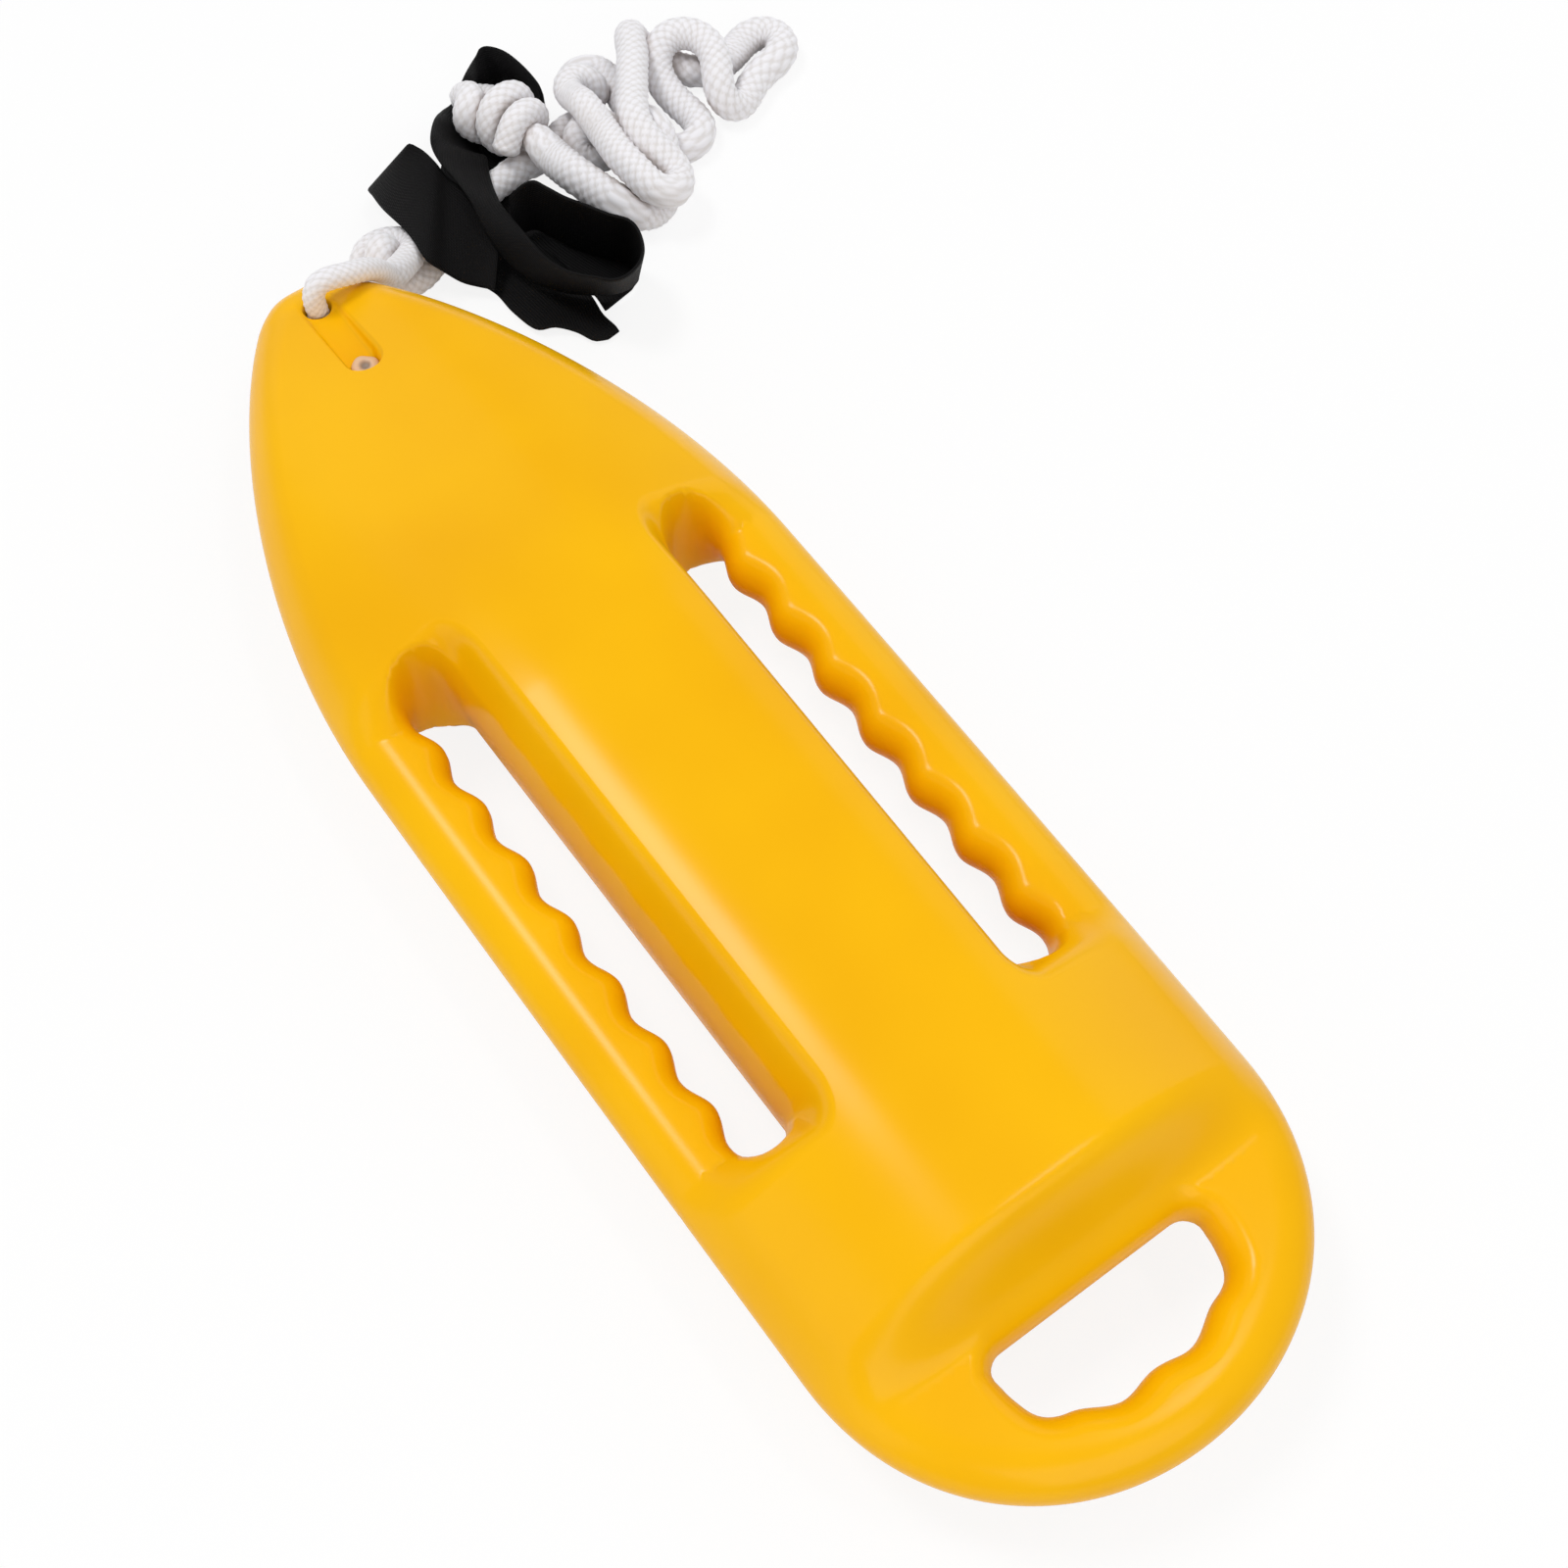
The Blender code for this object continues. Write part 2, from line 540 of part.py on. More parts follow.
def plan_mesh(loops, free):
    """Triangles between the loops through the free points, none lying wholly on an edge."""
    edges, base = [], 0
    for loop in loops:
        count = len(loop)
        edges += [(base + k, base + (k + 1) % count) for k in range(count)]
        base += count
    fixed = np.vstack(loops)
    rim = {tuple(sorted(e)) for e in edges}
    while True:
        points = np.vstack([fixed, free])
        found = delaunay_2d_cdt([Vector(p) for p in points], edges, [], 0, 1e-6)
        origin = [group[0] for group in found[3]]
        faces = np.array([[origin[k] for k in face] for face in found[2]])
        centres = points[faces].mean(axis=1)
        keep = inside_loop(centres, loops[0])
        for hole in loops[1:]:
            keep &= ~inside_loop(centres, hole)
        faces = faces[keep]
        bridges = set()
        for face in faces:
            for a, b in zip(face, np.roll(face, -1)):
                pair = tuple(sorted((int(a), int(b))))
                if pair[1] < len(fixed) and pair not in rim:
                    bridges.add(pair)
        if not bridges:
            return points, faces, len(fixed)
        middles = [(points[a] + points[b]) / 2 for a, b in sorted(bridges)]
        free = np.vstack([free, middles])


def double_skin(loops, free, inset):
    """Closed body: the plan mesh lifted to the skin's height, and mirrored below."""
    points, faces, rim = plan_mesh(loops, free)
    height = np.maximum(skin_height(points, loops, inset), LEAST_LIFT)
    height[:rim] = 0
    above = np.column_stack([points, MID + height])
    below = np.column_stack([points, MID - height])[rim:]
    turned = points[faces]
    area = np.cross(turned[:, 1] - turned[:, 0], turned[:, 2] - turned[:, 0])
    faces = np.where(area[:, None] > 0, faces, faces[:, ::-1])
    under = np.where(faces < rim, faces, faces + len(points) - rim)[:, ::-1]
    return np.vstack([above, below]), np.vstack([faces, under])


def skin_body(name, inset, step, fine, finish=None, front=NOSE_X):
    loops = hull_loops(inset, step, fine, front)
    rows = edge_rows(loops, inset)
    gaps = [EDGE_GAP] * len(rows)
    pockets = pocket_rows(inset, step)
    field = field_rows(step)
    rows += pockets + field
    gaps += [POCKET_GAP * step] * len(pockets) + [FIELD_GAP * step] * len(field)
    free = thin_out(rows, loops, gaps)
    points, faces = double_skin(loops, free, inset)
    return add_mesh(name, points, faces, finish)


def cut(body, cutter):
    """Take the cutter out of the body, and remove it."""
    cutter.hide_render = True
    cutter.display_type = "WIRE"
    made = body.modifiers.new("cut", "BOOLEAN")
    made.operation = "DIFFERENCE"
    made.solver = "EXACT"
    made.object = cutter
    bpy.context.view_layer.update()
    seen = body.evaluated_get(bpy.context.evaluated_depsgraph_get())
    result = bpy.data.meshes.new_from_object(seen)
    body.modifiers.remove(made)
    body.data = result
    bpy.data.objects.remove(cutter)


def prism(name, outline, levels, finish=None):
    """Closed prism: the outline at each level, as (height, grow) pairs from low to high."""
    outline = np.asarray(outline, float)
    centre = outline.mean(axis=0)
    count = len(outline)
    points = []
    for height, grow in levels:
        spread = outline - centre
        spread = spread * (1 + grow / np.linalg.norm(spread, axis=1))[:, None]
        points += [(*p, height) for p in spread + centre]
    faces = [tuple(range(count))[::-1]]
    for level in range(len(levels) - 1):
        base = level * count
        for k in range(count):
            after = (k + 1) % count
            faces.append((base + k, base + after, base + count + after, base + count + k))
    faces.append(tuple(range(len(points) - count, len(points))))
    return add_mesh(name, points, faces, finish)


def circle(x, y, radius, count=ROUND_SIDES):
    turns = np.linspace(0, 2 * math.pi, count, endpoint=False)
    return np.column_stack([x + radius * np.cos(turns), y + radius * np.sin(turns)])


def stadium(x0, x1, half, count=10):
    turns = np.linspace(-math.pi / 2, math.pi / 2, count)
    front = np.column_stack([x1 + half * np.cos(turns), half * np.sin(turns)])
    rear = np.column_stack([x0 - half * np.cos(turns), -half * np.sin(turns)])
    return np.vstack([front, rear])


def spline(points):
    """Close points on a smooth curve through the given ones."""
    points = np.asarray(points, float)
    ends = np.vstack([2 * points[0] - points[1], points, 2 * points[-1] - points[-2]])
    t = np.linspace(0, 1, 12, endpoint=False)[:, None]
    legs = []
    for a, b, c, d in zip(ends, ends[1:], ends[2:], ends[3:]):
        legs.append(0.5 * (2 * b + (c - a) * t + (2 * a - 5 * b + 4 * c - d) * t * t
                           + (3 * b - a - 3 * c + d) * t ** 3))
    return np.vstack(legs + [points[-1:]])


def smooth_path(points, step):
    made = spline(points)
    runs = np.linalg.norm(np.diff(made[:, :3], axis=0), axis=1)
    along = np.r_[0, np.cumsum(runs)]
    places = np.linspace(0, along[-1], round(along[-1] / step) + 1)
    return np.column_stack([np.interp(places, along, made[:, k]) for k in range(made.shape[1])])


def wrap_turns():
    """The closing turns of the rope, wound round its own last straight run."""
    start, end = np.array(WRAP_START), np.array(WRAP_END)
    axis = (end - start) / np.linalg.norm(end - start)
    side = np.cross(axis, (0, 0, 1))
    side /= np.linalg.norm(side)
    rise = np.cross(axis, side)
    rows = []
    for share in np.linspace(0, 1, WRAP_POINTS):
        angle = WRAP_PHASE + 2 * math.pi * WRAP_TURNS * share
        place = start + (end - start) * share
        place = place + WRAP_RADIUS * (math.cos(angle) * side + math.sin(angle) * rise)
        rows.append((*place, 1.0, WRAP_HOLD))
    return rows


def rope_route():
    rows = []
    for legs, hold in ((LEAD, LEAD_HOLD), (KNOT, LOOSE_HOLD), (TANGLE, LOOSE_HOLD),
                       (CORE, CORE_HOLD)):
        rows += [(x / 1000, y / 1000, z / 1000, wide, hold) for x, y, z, wide in legs]
    return np.array(rows + wrap_turns())


def rope_pairs(line):
    """Wanted distance for every two points, and which of them are not neighbours."""
    radius = line[:, 3] * ROPE_DIAMETER / 2
    need = radius[:, None] + radius[None]
    step = np.linalg.norm(np.diff(line[:, :3], axis=0), axis=1).mean()
    order = np.arange(len(line))
    apart = np.abs(order[:, None] - order[None]) * step > need * NEIGHBOUR_REACH
    return radius, need, apart, step


def settle(line):
    """Lay the rope down: strands push each other apart, sink, and bend no tighter than they can."""
    radius, need, apart, step = rope_pairs(line)
    need = need + ROPE_SPACE
    hold = line[:, 4:5]
    home = line[:, :3]
    place = home.copy()
    for turn in range(SETTLE_TURNS):
        late = turn / SETTLE_TURNS
        between = place[:, None] - place[None]
        distance = np.linalg.norm(between, axis=2) + 1e-9
        near = (distance < need) & apart
        depth = np.where(near, (need - distance) / distance / 2, 0)
        count = near.sum(axis=1)[:, None]
        moved = place + SETTLE_PUSH * (depth[..., None] * between).sum(axis=1) / np.maximum(count, 1)
        if late < SETTLE_HELD:
            moved += (home - moved) * hold * np.where(count == 0, 1, TOUCH_HOLD)
            moved[:, 2:] -= SETTLE_SINK * (hold < CORE_HOLD)
        bow = np.zeros_like(moved)
        bow[1:-1] = (moved[:-2] + moved[2:]) / 2 - moved[1:-1]
        curve = 2 * np.linalg.norm(bow, axis=1) / step ** 2
        sharp = np.clip((curve * ROPE_LEAST_BEND - 1) * SHARP_GAIN, 0, 1)[:, None]
        ease = ROPE_EASE * (hold < WRAP_HOLD)
        if late < SETTLE_FIRM:
            moved += bow * (ease * (1 - sharp) + ROPE_EASE * sharp)
        else:
            moved += bow * LATE_EASE
        for _ in range(LENGTH_MENDS):
            runs = np.diff(moved, axis=0)
            length = np.linalg.norm(runs, axis=1)[:, None]
            mend = runs * (1 - step / length) / 4
            moved[:-1] += mend
            moved[1:] -= mend
        lift = STRAP_LIFT * np.clip((moved[:, 1] - STRAP_LIFT_FROM) / STRAP_LIFT_RAMP, 0, 1)
        moved[:, 2] = np.maximum(moved[:, 2], radius + FLOOR_SPACE + lift)
        moved[:FIXED_POINTS] = place[:FIXED_POINTS]
        place = moved
    return np.column_stack([place, line[:, 3]])


def least_gap(line):
    radius, need, apart, _ = rope_pairs(line)
    distance = np.linalg.norm(line[:, None, :3] - line[None, :, :3], axis=2) - need
    return distance[apart].min()


def tube(name, line, diameter, sides, finish):
    """Closed tube on a line of (x, y, z, width share) rows."""
    curve = bpy.data.curves.new(name, "CURVE")
    curve.dimensions = "3D"
    curve.bevel_depth = diameter / 2
    curve.bevel_resolution = sides
    curve.use_fill_caps = True
    spline = curve.splines.new("POLY")
    spline.points.add(len(line) - 1)
    for point, row in zip(spline.points, line):
        point.co = (*row[:3], 1)
        point.radius = row[3]
    source = bpy.data.objects.new(name + "_line", curve)
    bpy.context.collection.objects.link(source)
    bpy.context.view_layer.update()
    seen = source.evaluated_get(bpy.context.evaluated_depsgraph_get())
    mesh = bpy.data.meshes.new_from_object(seen)
    bpy.data.objects.remove(source)
    build = bmesh.new()
    build.from_mesh(mesh)
    bmesh.ops.remove_doubles(build, verts=build.verts, dist=MERGE)
    bmesh.ops.recalc_face_normals(build, faces=build.faces)
    build.to_mesh(mesh)
    build.free()
    mesh.materials.clear()
    mesh.materials.append(finish)
    shade_round(mesh)
    made = bpy.data.objects.new(name, mesh)
    bpy.context.collection.objects.link(made)


def anchor_line():
    """Down the front hole, back along the underside, and up the rear hole."""
    low = ANCHOR_LEVEL
    turn = ANCHOR_BEND
    front, rear = FRONT_HOLE_X, REAR_HOLE_X
    rows = [(front, 0, LEAD_START - GAP), (front, 0, low + turn)]
    quarter = np.linspace(0, math.pi / 2, 5)[1:]
    rows += [(front - turn + turn * math.cos(a), 0, low + turn - turn * math.sin(a))
             for a in quarter]
    rows += [(rear + turn - turn * math.sin(a), 0, low + turn - turn * math.cos(a))
             for a in (0, *quarter)]
    rows.append((rear, 0, RECESS_LEVEL))
    return np.array([(*row, 1.0) for row in rows])


def end_collar(finish):
    """The melted rope end: a low domed button that cannot pass back through its hole."""
    base = RECESS_LEVEL + GAP
    levels = [(base + high * COLLAR_HEIGHT, (wide - 1) * COLLAR_DIAMETER / 2)
              for wide, high in COLLAR_RINGS]
    outline = circle(REAR_HOLE_X, 0, COLLAR_DIAMETER / 2)
    shade_round(prism("rope_end_collar", outline, levels, finish).data)


def strap_surface(rungs):
    """Rows of points across the webbing, from the two edges given in millimetres."""
    made = spline([(*a, *b) for a, b in rungs]) / 1000
    middle = (made[:, :3] + made[:, 3:]) / 2
    along = np.r_[0, np.cumsum(np.linalg.norm(np.diff(middle, axis=0), axis=1))]
    places = np.linspace(0, along[-1], round(along[-1] / STRAP_STEP) + 1)
    made = np.column_stack([np.interp(places, along, made[:, k]) for k in range(6)])
    share = np.linspace(0, 1, STRAP_COLUMNS)[None, :, None]
    return made[:, None, :3] * (1 - share) + made[:, None, 3:] * share


def strap(name, rungs, finish):
    """Closed strip of webbing with its thickness laid evenly on both sides of the surface."""
    grid = strap_surface(rungs)
    rows, columns = grid.shape[:2]
    along = np.gradient(grid, axis=0)
    across = np.gradient(grid, axis=1)
    normal = np.cross(along, across)
    normal /= np.linalg.norm(normal, axis=2)[..., None]
    upper = (grid + normal * STRAP_THICKNESS / 2).reshape(-1, 3)
    lower = (grid - normal * STRAP_THICKNESS / 2).reshape(-1, 3)
    base = rows * columns
    faces = []
    for i in range(rows - 1):
        for j in range(columns - 1):
            a, b = i * columns + j, i * columns + j + 1
            c, d = b + columns, a + columns
            faces += [(a, d, c), (a, c, b)]
            faces += [(base + a, base + c, base + d), (base + a, base + b, base + c)]
    rim = [i * columns for i in range(rows)]
    rim += [(rows - 1) * columns + j for j in range(1, columns)]
    rim += [i * columns + columns - 1 for i in range(rows - 2, -1, -1)]
    rim += list(range(columns - 2, 0, -1))
    for a, b in zip(rim, rim[1:] + rim[:1]):
        faces += [(a, base + a, base + b), (a, base + b, b)]
    made = add_mesh(name, np.vstack([upper, lower]), faces, finish)
    build = bmesh.new()
    build.from_mesh(made.data)
    bmesh.ops.recalc_face_normals(build, faces=build.faces)
    build.to_mesh(made.data)
    build.free()
    runs = np.linalg.norm(np.diff(grid.mean(axis=1), axis=0), axis=1)
    print(name, "run, m", round(float(runs.sum()), 3))


def shrunk_copy(source, name, gap, finish):
    """Copy of a closed body with every corner moved inwards, for a filling with a gap round it."""
    mesh = source.data.copy()
    build = bmesh.new()
    build.from_mesh(mesh)
    build.normal_update()
    moves = [vertex.normal * gap for vertex in build.verts]
    for vertex, move in zip(build.verts, moves):
        vertex.co -= move
    build.to_mesh(mesh)
    build.free()
    mesh.name = name
    mesh.materials.clear()
    mesh.materials.append(finish)
    made = bpy.data.objects.new(name, mesh)
    bpy.context.collection.objects.link(made)
    return made


def make_hull(yellow, foam, black):
    hull = skin_body("hull_shell", 0.0, OUTLINE_STEP, SCALLOP_STEP, yellow)
    hollow = skin_body("hollow", WALL, HOLLOW_STEP, HOLLOW_FINE, foam, HOLLOW_FRONT)
    filling = shrunk_copy(hollow, "foam_core", FOAM_GAP, foam)
    cut(hull, hollow)
    recess = stadium(REAR_HOLE_X, RECESS_FRONT, RECESS_WIDTH / 2)
    for low, high in ((RECESS_LEVEL, HULL_HEIGHT), (HULL_HEIGHT - RECESS_LEVEL, 0.0)):
        levels = sorted([(low, 0.0), (high, RECESS_FLARE)])
        cut(hull, prism("recess", recess, levels))
    for x in (FRONT_HOLE_X, REAR_HOLE_X):
        cut(hull, prism("rope_hole", circle(x, 0, ROPE_HOLE / 2), ((0, 0), (HULL_HEIGHT, 0))))
    cut(hull, prism("fill_hole", circle(FILL_X, 0, FILL_HOLE / 2), ((-0.01, 0), (2 * WALL, 0))))
    cut(hull, prism("fill_seat", circle(FILL_X, 0, FILL_SEAT / 2), ((-0.01, 0), (SEAT_DEPTH, 0))))
    pocket = circle(FILL_X, 0, FILL_HOLE / 2 + FOAM_GAP)
    cut(filling, prism("plug_pocket", pocket, ((0, 0), (PLUG_DEPTH + FOAM_GAP, 0))))
    plug_levels = ((GAP, 0), (SEAT_DEPTH - GAP, 0))
    flange = FILL_SEAT / 2 - GAP
    stem = FILL_HOLE / 2 - GAP
    inwards = stem - flange
    plug_levels += ((SEAT_DEPTH - GAP, inwards), (PLUG_DEPTH, inwards))
    shade_round(prism("fill_plug", circle(FILL_X, 0, flange), plug_levels, black).data)
    shade_round(hull.data)


def make_rope(white, scorched):
    line = settle(smooth_path(rope_route(), ROPE_STEP))
    print("rope gap to itself, mm", round(1000 * least_gap(line), 2))
    runs = np.linalg.norm(np.diff(line[:, :3], axis=0), axis=1)
    print("rope length, m", round(runs.sum(), 3))
    along = np.r_[0, np.cumsum(runs)]
    split = int(np.argmin(np.abs(along - LEAD_LENGTH)))
    first, last = split - STRAIGHT_POINTS, split + STRAIGHT_POINTS
    line[first:last + 1] = np.linspace(line[first], line[last], last - first + 1)
    lead, hank = line[:split + 1].copy(), line[split:].copy()
    direction = hank[1, :3] - hank[0, :3]
    hank[0, :3] += direction / np.linalg.norm(direction) * GAP
    tube("tow_rope_lead", lead, ROPE_DIAMETER, ROPE_SIDES, white)
    tube("tow_rope_hank", hank, ROPE_DIAMETER, ROPE_SIDES, white)
    tube("rope_anchor_run", anchor_line(), HELD_ROPE, ANCHOR_SIDES, white)
    end_collar(scorched)


def main():
    clear_scene()
    yellow = material("hull_yellow", (0.93, 0.46, 0.002), 0.35)
    foam = material("foam_cream", (0.80, 0.72, 0.52), 0.9)
    black = material("plug_black", (0.02, 0.02, 0.02), 0.5)
    white = material("rope_white", (0.80, 0.80, 0.83), 0.8)
    scorched = material("rope_end_tan", (0.42, 0.30, 0.20), 0.5)
    webbing = material("webbing_black", (0.012, 0.012, 0.013), 0.75)
    make_hull(yellow, foam, black)
    make_rope(white, scorched)
    strap("shoulder_strap_loop", LOOP_RUNGS, webbing)
    strap("shoulder_strap_tail", TAIL_RUNGS, webbing)
    for made in bpy.data.objects:
        print(made.name, "faces", len(made.data.polygons))


main()
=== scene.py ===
import math

import bmesh
import bpy
import numpy as np
from mathutils import Matrix, Vector
from mathutils.bvhtree import BVHTree
from mathutils.geometry import delaunay_2d_cdt


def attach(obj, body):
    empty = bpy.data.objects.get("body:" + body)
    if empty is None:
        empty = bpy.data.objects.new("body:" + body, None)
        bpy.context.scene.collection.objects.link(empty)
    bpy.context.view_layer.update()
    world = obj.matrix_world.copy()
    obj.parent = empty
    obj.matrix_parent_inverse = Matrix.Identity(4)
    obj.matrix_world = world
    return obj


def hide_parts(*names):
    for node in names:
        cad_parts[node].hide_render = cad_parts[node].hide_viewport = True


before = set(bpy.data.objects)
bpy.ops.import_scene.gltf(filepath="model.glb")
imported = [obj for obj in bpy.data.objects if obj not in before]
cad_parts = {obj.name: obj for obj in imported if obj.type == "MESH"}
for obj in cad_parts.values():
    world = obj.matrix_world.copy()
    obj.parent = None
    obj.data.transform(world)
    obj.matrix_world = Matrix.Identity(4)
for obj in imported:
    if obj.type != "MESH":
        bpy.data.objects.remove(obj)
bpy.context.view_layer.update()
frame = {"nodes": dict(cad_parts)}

# Metres, +X to the nose, +Y to the float's left, +Z up. Routes and webbing edges are in millimetres.

view = {
    "eye": (-0.3988, 0.2371, 0.9476),
    "target": (-0.0204, -0.0361, 0.0550),
    "lens": 50.565,
    "film": 36.0,
    "roll": -0.18,  # degrees
}


def placeCamera():
    eye, target = Vector(view["eye"]), Vector(view["target"])
    ahead = (target - eye).normalized()
    right = ahead.cross(Vector((0, 0, 1))).normalized()
    above = right.cross(ahead)
    turn = math.radians(view["roll"])
    side = right * math.cos(turn) + above * math.sin(turn)
    top = above * math.cos(turn) - right * math.sin(turn)
    data = bpy.data.cameras.new("photoCamera")
    data.lens = view["lens"]
    data.sensor_width = view["film"]
    camera = bpy.data.objects.new("photoCamera", data)
    bpy.context.scene.collection.objects.link(camera)
    axes = Matrix((side, top, -ahead)).transposed().to_4x4()
    camera.matrix_world = Matrix.Translation(eye) @ axes
    bpy.context.scene.camera = camera


placeCamera()
print("camera placed")


# Shared helpers

def addMesh(name, points, faces, finish=None, smooth=True):
    mesh = bpy.data.meshes.new(name)
    mesh.from_pydata([tuple(p) for p in points], [], [tuple(int(k) for k in f) for f in faces])
    mesh.update()
    if smooth:
        mesh.shade_smooth()
    if finish:
        mesh.materials.append(finish)
    made = bpy.data.objects.new(name, mesh)
    bpy.context.scene.collection.objects.link(made)
    return made


def catmull(points, steps=12):
    points = np.asarray(points, float)
    ends = np.vstack([2 * points[0] - points[1], points, 2 * points[-1] - points[-2]])
    t = np.linspace(0, 1, steps, endpoint=False)[:, None]
    legs = []
    for a, b, c, d in zip(ends, ends[1:], ends[2:], ends[3:]):
        legs.append(0.5 * (2 * b + (c - a) * t + (2 * a - 5 * b + 4 * c - d) * t * t
                           + (3 * b - a - 3 * c + d) * t ** 3))
    return np.vstack(legs + [points[-1:]])


def evenly(points, step, width=3):
    runs = np.linalg.norm(np.diff(points[:, :width], axis=0), axis=1)
    along = np.r_[0, np.cumsum(runs)]
    places = np.linspace(0, along[-1], round(along[-1] / step) + 1)
    return np.column_stack([np.interp(places, along, points[:, k]) for k in range(points.shape[1])])


def smoothStep(t):
    t = np.clip(t, 0, 1)
    return t * t * (3 - 2 * t)


# Rope: the same route and the same laying down as the construction model

rope = {
    "diameter": 0.012,
    "slackDiameter": 0.014,
    "heldDiameter": 0.0115,
    "step": 0.006,
    "space": 0.0016,
    "leastBend": 0.012,
    "ease": 0.42,
    "lateEase": 0.3,
    "reach": 1.6,
    "turns": 700,
    "push": 1.2,
    "sink": 0.0001,
    "heldShare": 0.7,  # share of the turns in which the route still holds the rope
    "firmShare": 0.9,
    "mendRounds": 3,
    "mendShare": 0.25,
    "touchHold": 0.3,
    "sharpGain": 1.5,
    "floorSpace": 0.0002,
    "strapLift": 0.0026,
    "strapLiftFrom": -0.205,
    "strapLiftRamp": 0.012,
    "fixedPoints": 4,
    "leadHold": 0.3,
    "looseHold": 0.02,
    "coreHold": 0.15,
    "wrapHold": 0.3,
    "wrapStart": (0.4435, -0.1650, 0.024),
    "wrapEnd": (0.4072, -0.1706, 0.025),
    "wrapRadius": 0.0134,
    "wrapTurns": 2.35,
    "wrapPhase": 4.241,
    "wrapPoints": 24,
}

leadRoute = (
    (333, 0, 68, 0.95), (333, 0, 79, 0.95), (333, -5, 86, 0.97), (330, -12, 88, 1.0),
    (332, -20, 82, 1.0), (335, -28, 78, 1.0), (340, -36, 69, 1.0), (345, -43, 57, 1.0),
    (351, -47, 42, 1.0), (357, -52, 31, 1.0),
)
knotRoute = (
    (364, -57, 22, 1.0), (373, -65, 12, 1.0), (381, -77, 10, 1.0), (390, -80, 14, 1.0),
    (399, -76, 20, 1.0), (395, -64, 26, 1.0), (388, -53, 26, 1.0), (381, -52, 18, 1.0),
    (378, -60, 12, 1.0), (377, -69, 18, 1.0), (378, -70, 30, 1.0), (383, -65, 36, 1.0),
    (379, -54, 38, 1.0), (372, -49, 34, 1.0), (368, -50, 26, 1.0), (371, -58, 16, 1.0),
    (377, -72, 9, 1.0), (385, -88, 9, 1.0),
)
tangleRoute = (
    (391, -101, 7, 1.0), (398, -122, 7, 1.05), (405, -144, 7, 1.1), (408, -162, 8, 1.15),
    (411, -181, 7, 1.2), (419, -200, 7, 1.2), (419, -216, 7, 1.2), (404, -221, 8, 1.2),
    (390, -213, 7, 1.2), (387, -198, 9, 1.2), (393, -189, 18, 1.2), (400, -192, 23, 1.2),
    (402, -205, 23, 1.2), (390, -215, 22, 1.2), (369, -221, 19, 1.2), (359, -236, 8, 1.2),
    (355, -251, 9, 1.25), (363, -261, 10, 1.3), (381, -262, 11, 1.3), (397, -259, 17, 1.3),
    (417, -259, 19, 1.3), (429, -268, 22, 1.3), (427, -279, 29, 1.3), (416, -289, 34, 1.3),
    (397, -291, 33, 1.3), (382, -286, 29, 1.3), (372, -277, 23, 1.3), (367, -278, 13, 1.3),
    (376, -296, 8, 1.3), (385, -316, 9, 1.35), (390, -334, 9, 1.4), (401, -344, 9, 1.4),
    (411, -335, 10, 1.4), (408, -317, 12, 1.4), (400, -297, 10, 1.3), (404, -278, 8, 1.3),
    (420, -264, 8, 1.3), (440, -264, 11, 1.3), (447, -266, 22, 1.3), (438, -268, 32, 1.3),
    (417, -254, 41, 1.3), (405, -237, 41, 1.3), (389, -224, 40, 1.3), (373, -223, 34, 1.3),
    (356, -225, 29, 1.3), (338, -222, 26, 1.3), (322, -219, 23, 1.3), (313, -212, 23, 1.3),
    (318, -205, 33, 1.35), (335, -204, 40, 1.35), (357, -205, 41, 1.35), (382, -206, 40, 1.3),
    (403, -203, 36, 1.15), (421, -202, 32, 1.1), (434, -208, 30, 1.1), (434, -219, 28, 1.1),
    (425, -224, 23, 1.1), (417, -223, 17, 1.1), (430, -221, 7, 1.1), (445, -220, 8, 1.15),
    (451, -235, 9, 1.2), (442, -244, 8, 1.2), (422, -237, 8, 1.2), (400, -231, 8, 1.2),
    (365, -224, 19, 1.3), (348, -229, 9, 1.3), (332, -223, 9, 1.35), (322, -207, 11, 1.4),
    (318, -196, 14, 1.5), (322, -193, 23, 1.55), (334, -187, 27, 1.6), (351, -181, 27, 1.6),
    (372, -173, 26, 1.6), (391, -168, 25, 1.5),
)
coreRoute = (
    (409, -171, 22, 1.1), (433, -168, 22, 1.0), (448, -166, 22, 1.0), (457, -166, 23, 1.0),
    (468, -165, 16, 1.0), (468, -163, 10, 1.0), (458, -160, 10, 1.0),
)


def wrapTurns():
    start, end = np.array(rope["wrapStart"]), np.array(rope["wrapEnd"])
    axis = (end - start) / np.linalg.norm(end - start)
    side = np.cross(axis, (0, 0, 1))
    side /= np.linalg.norm(side)
    rise = np.cross(axis, side)
    rows = []
    for share in np.linspace(0, 1, rope["wrapPoints"]):
        angle = rope["wrapPhase"] + 2 * math.pi * rope["wrapTurns"] * share
        place = start + (end - start) * share
        place = place + rope["wrapRadius"] * (math.cos(angle) * side + math.sin(angle) * rise)
        rows.append((*place, 1.0, rope["wrapHold"]))
    return rows


def ropeRoute():
    rows = []
    for legs, hold in ((leadRoute, rope["leadHold"]), (knotRoute, rope["looseHold"]),
                       (tangleRoute, rope["looseHold"]), (coreRoute, rope["coreHold"])):
        rows += [(x / 1000, y / 1000, z / 1000, wide, hold) for x, y, z, wide in legs]
    return np.array(rows + wrapTurns())


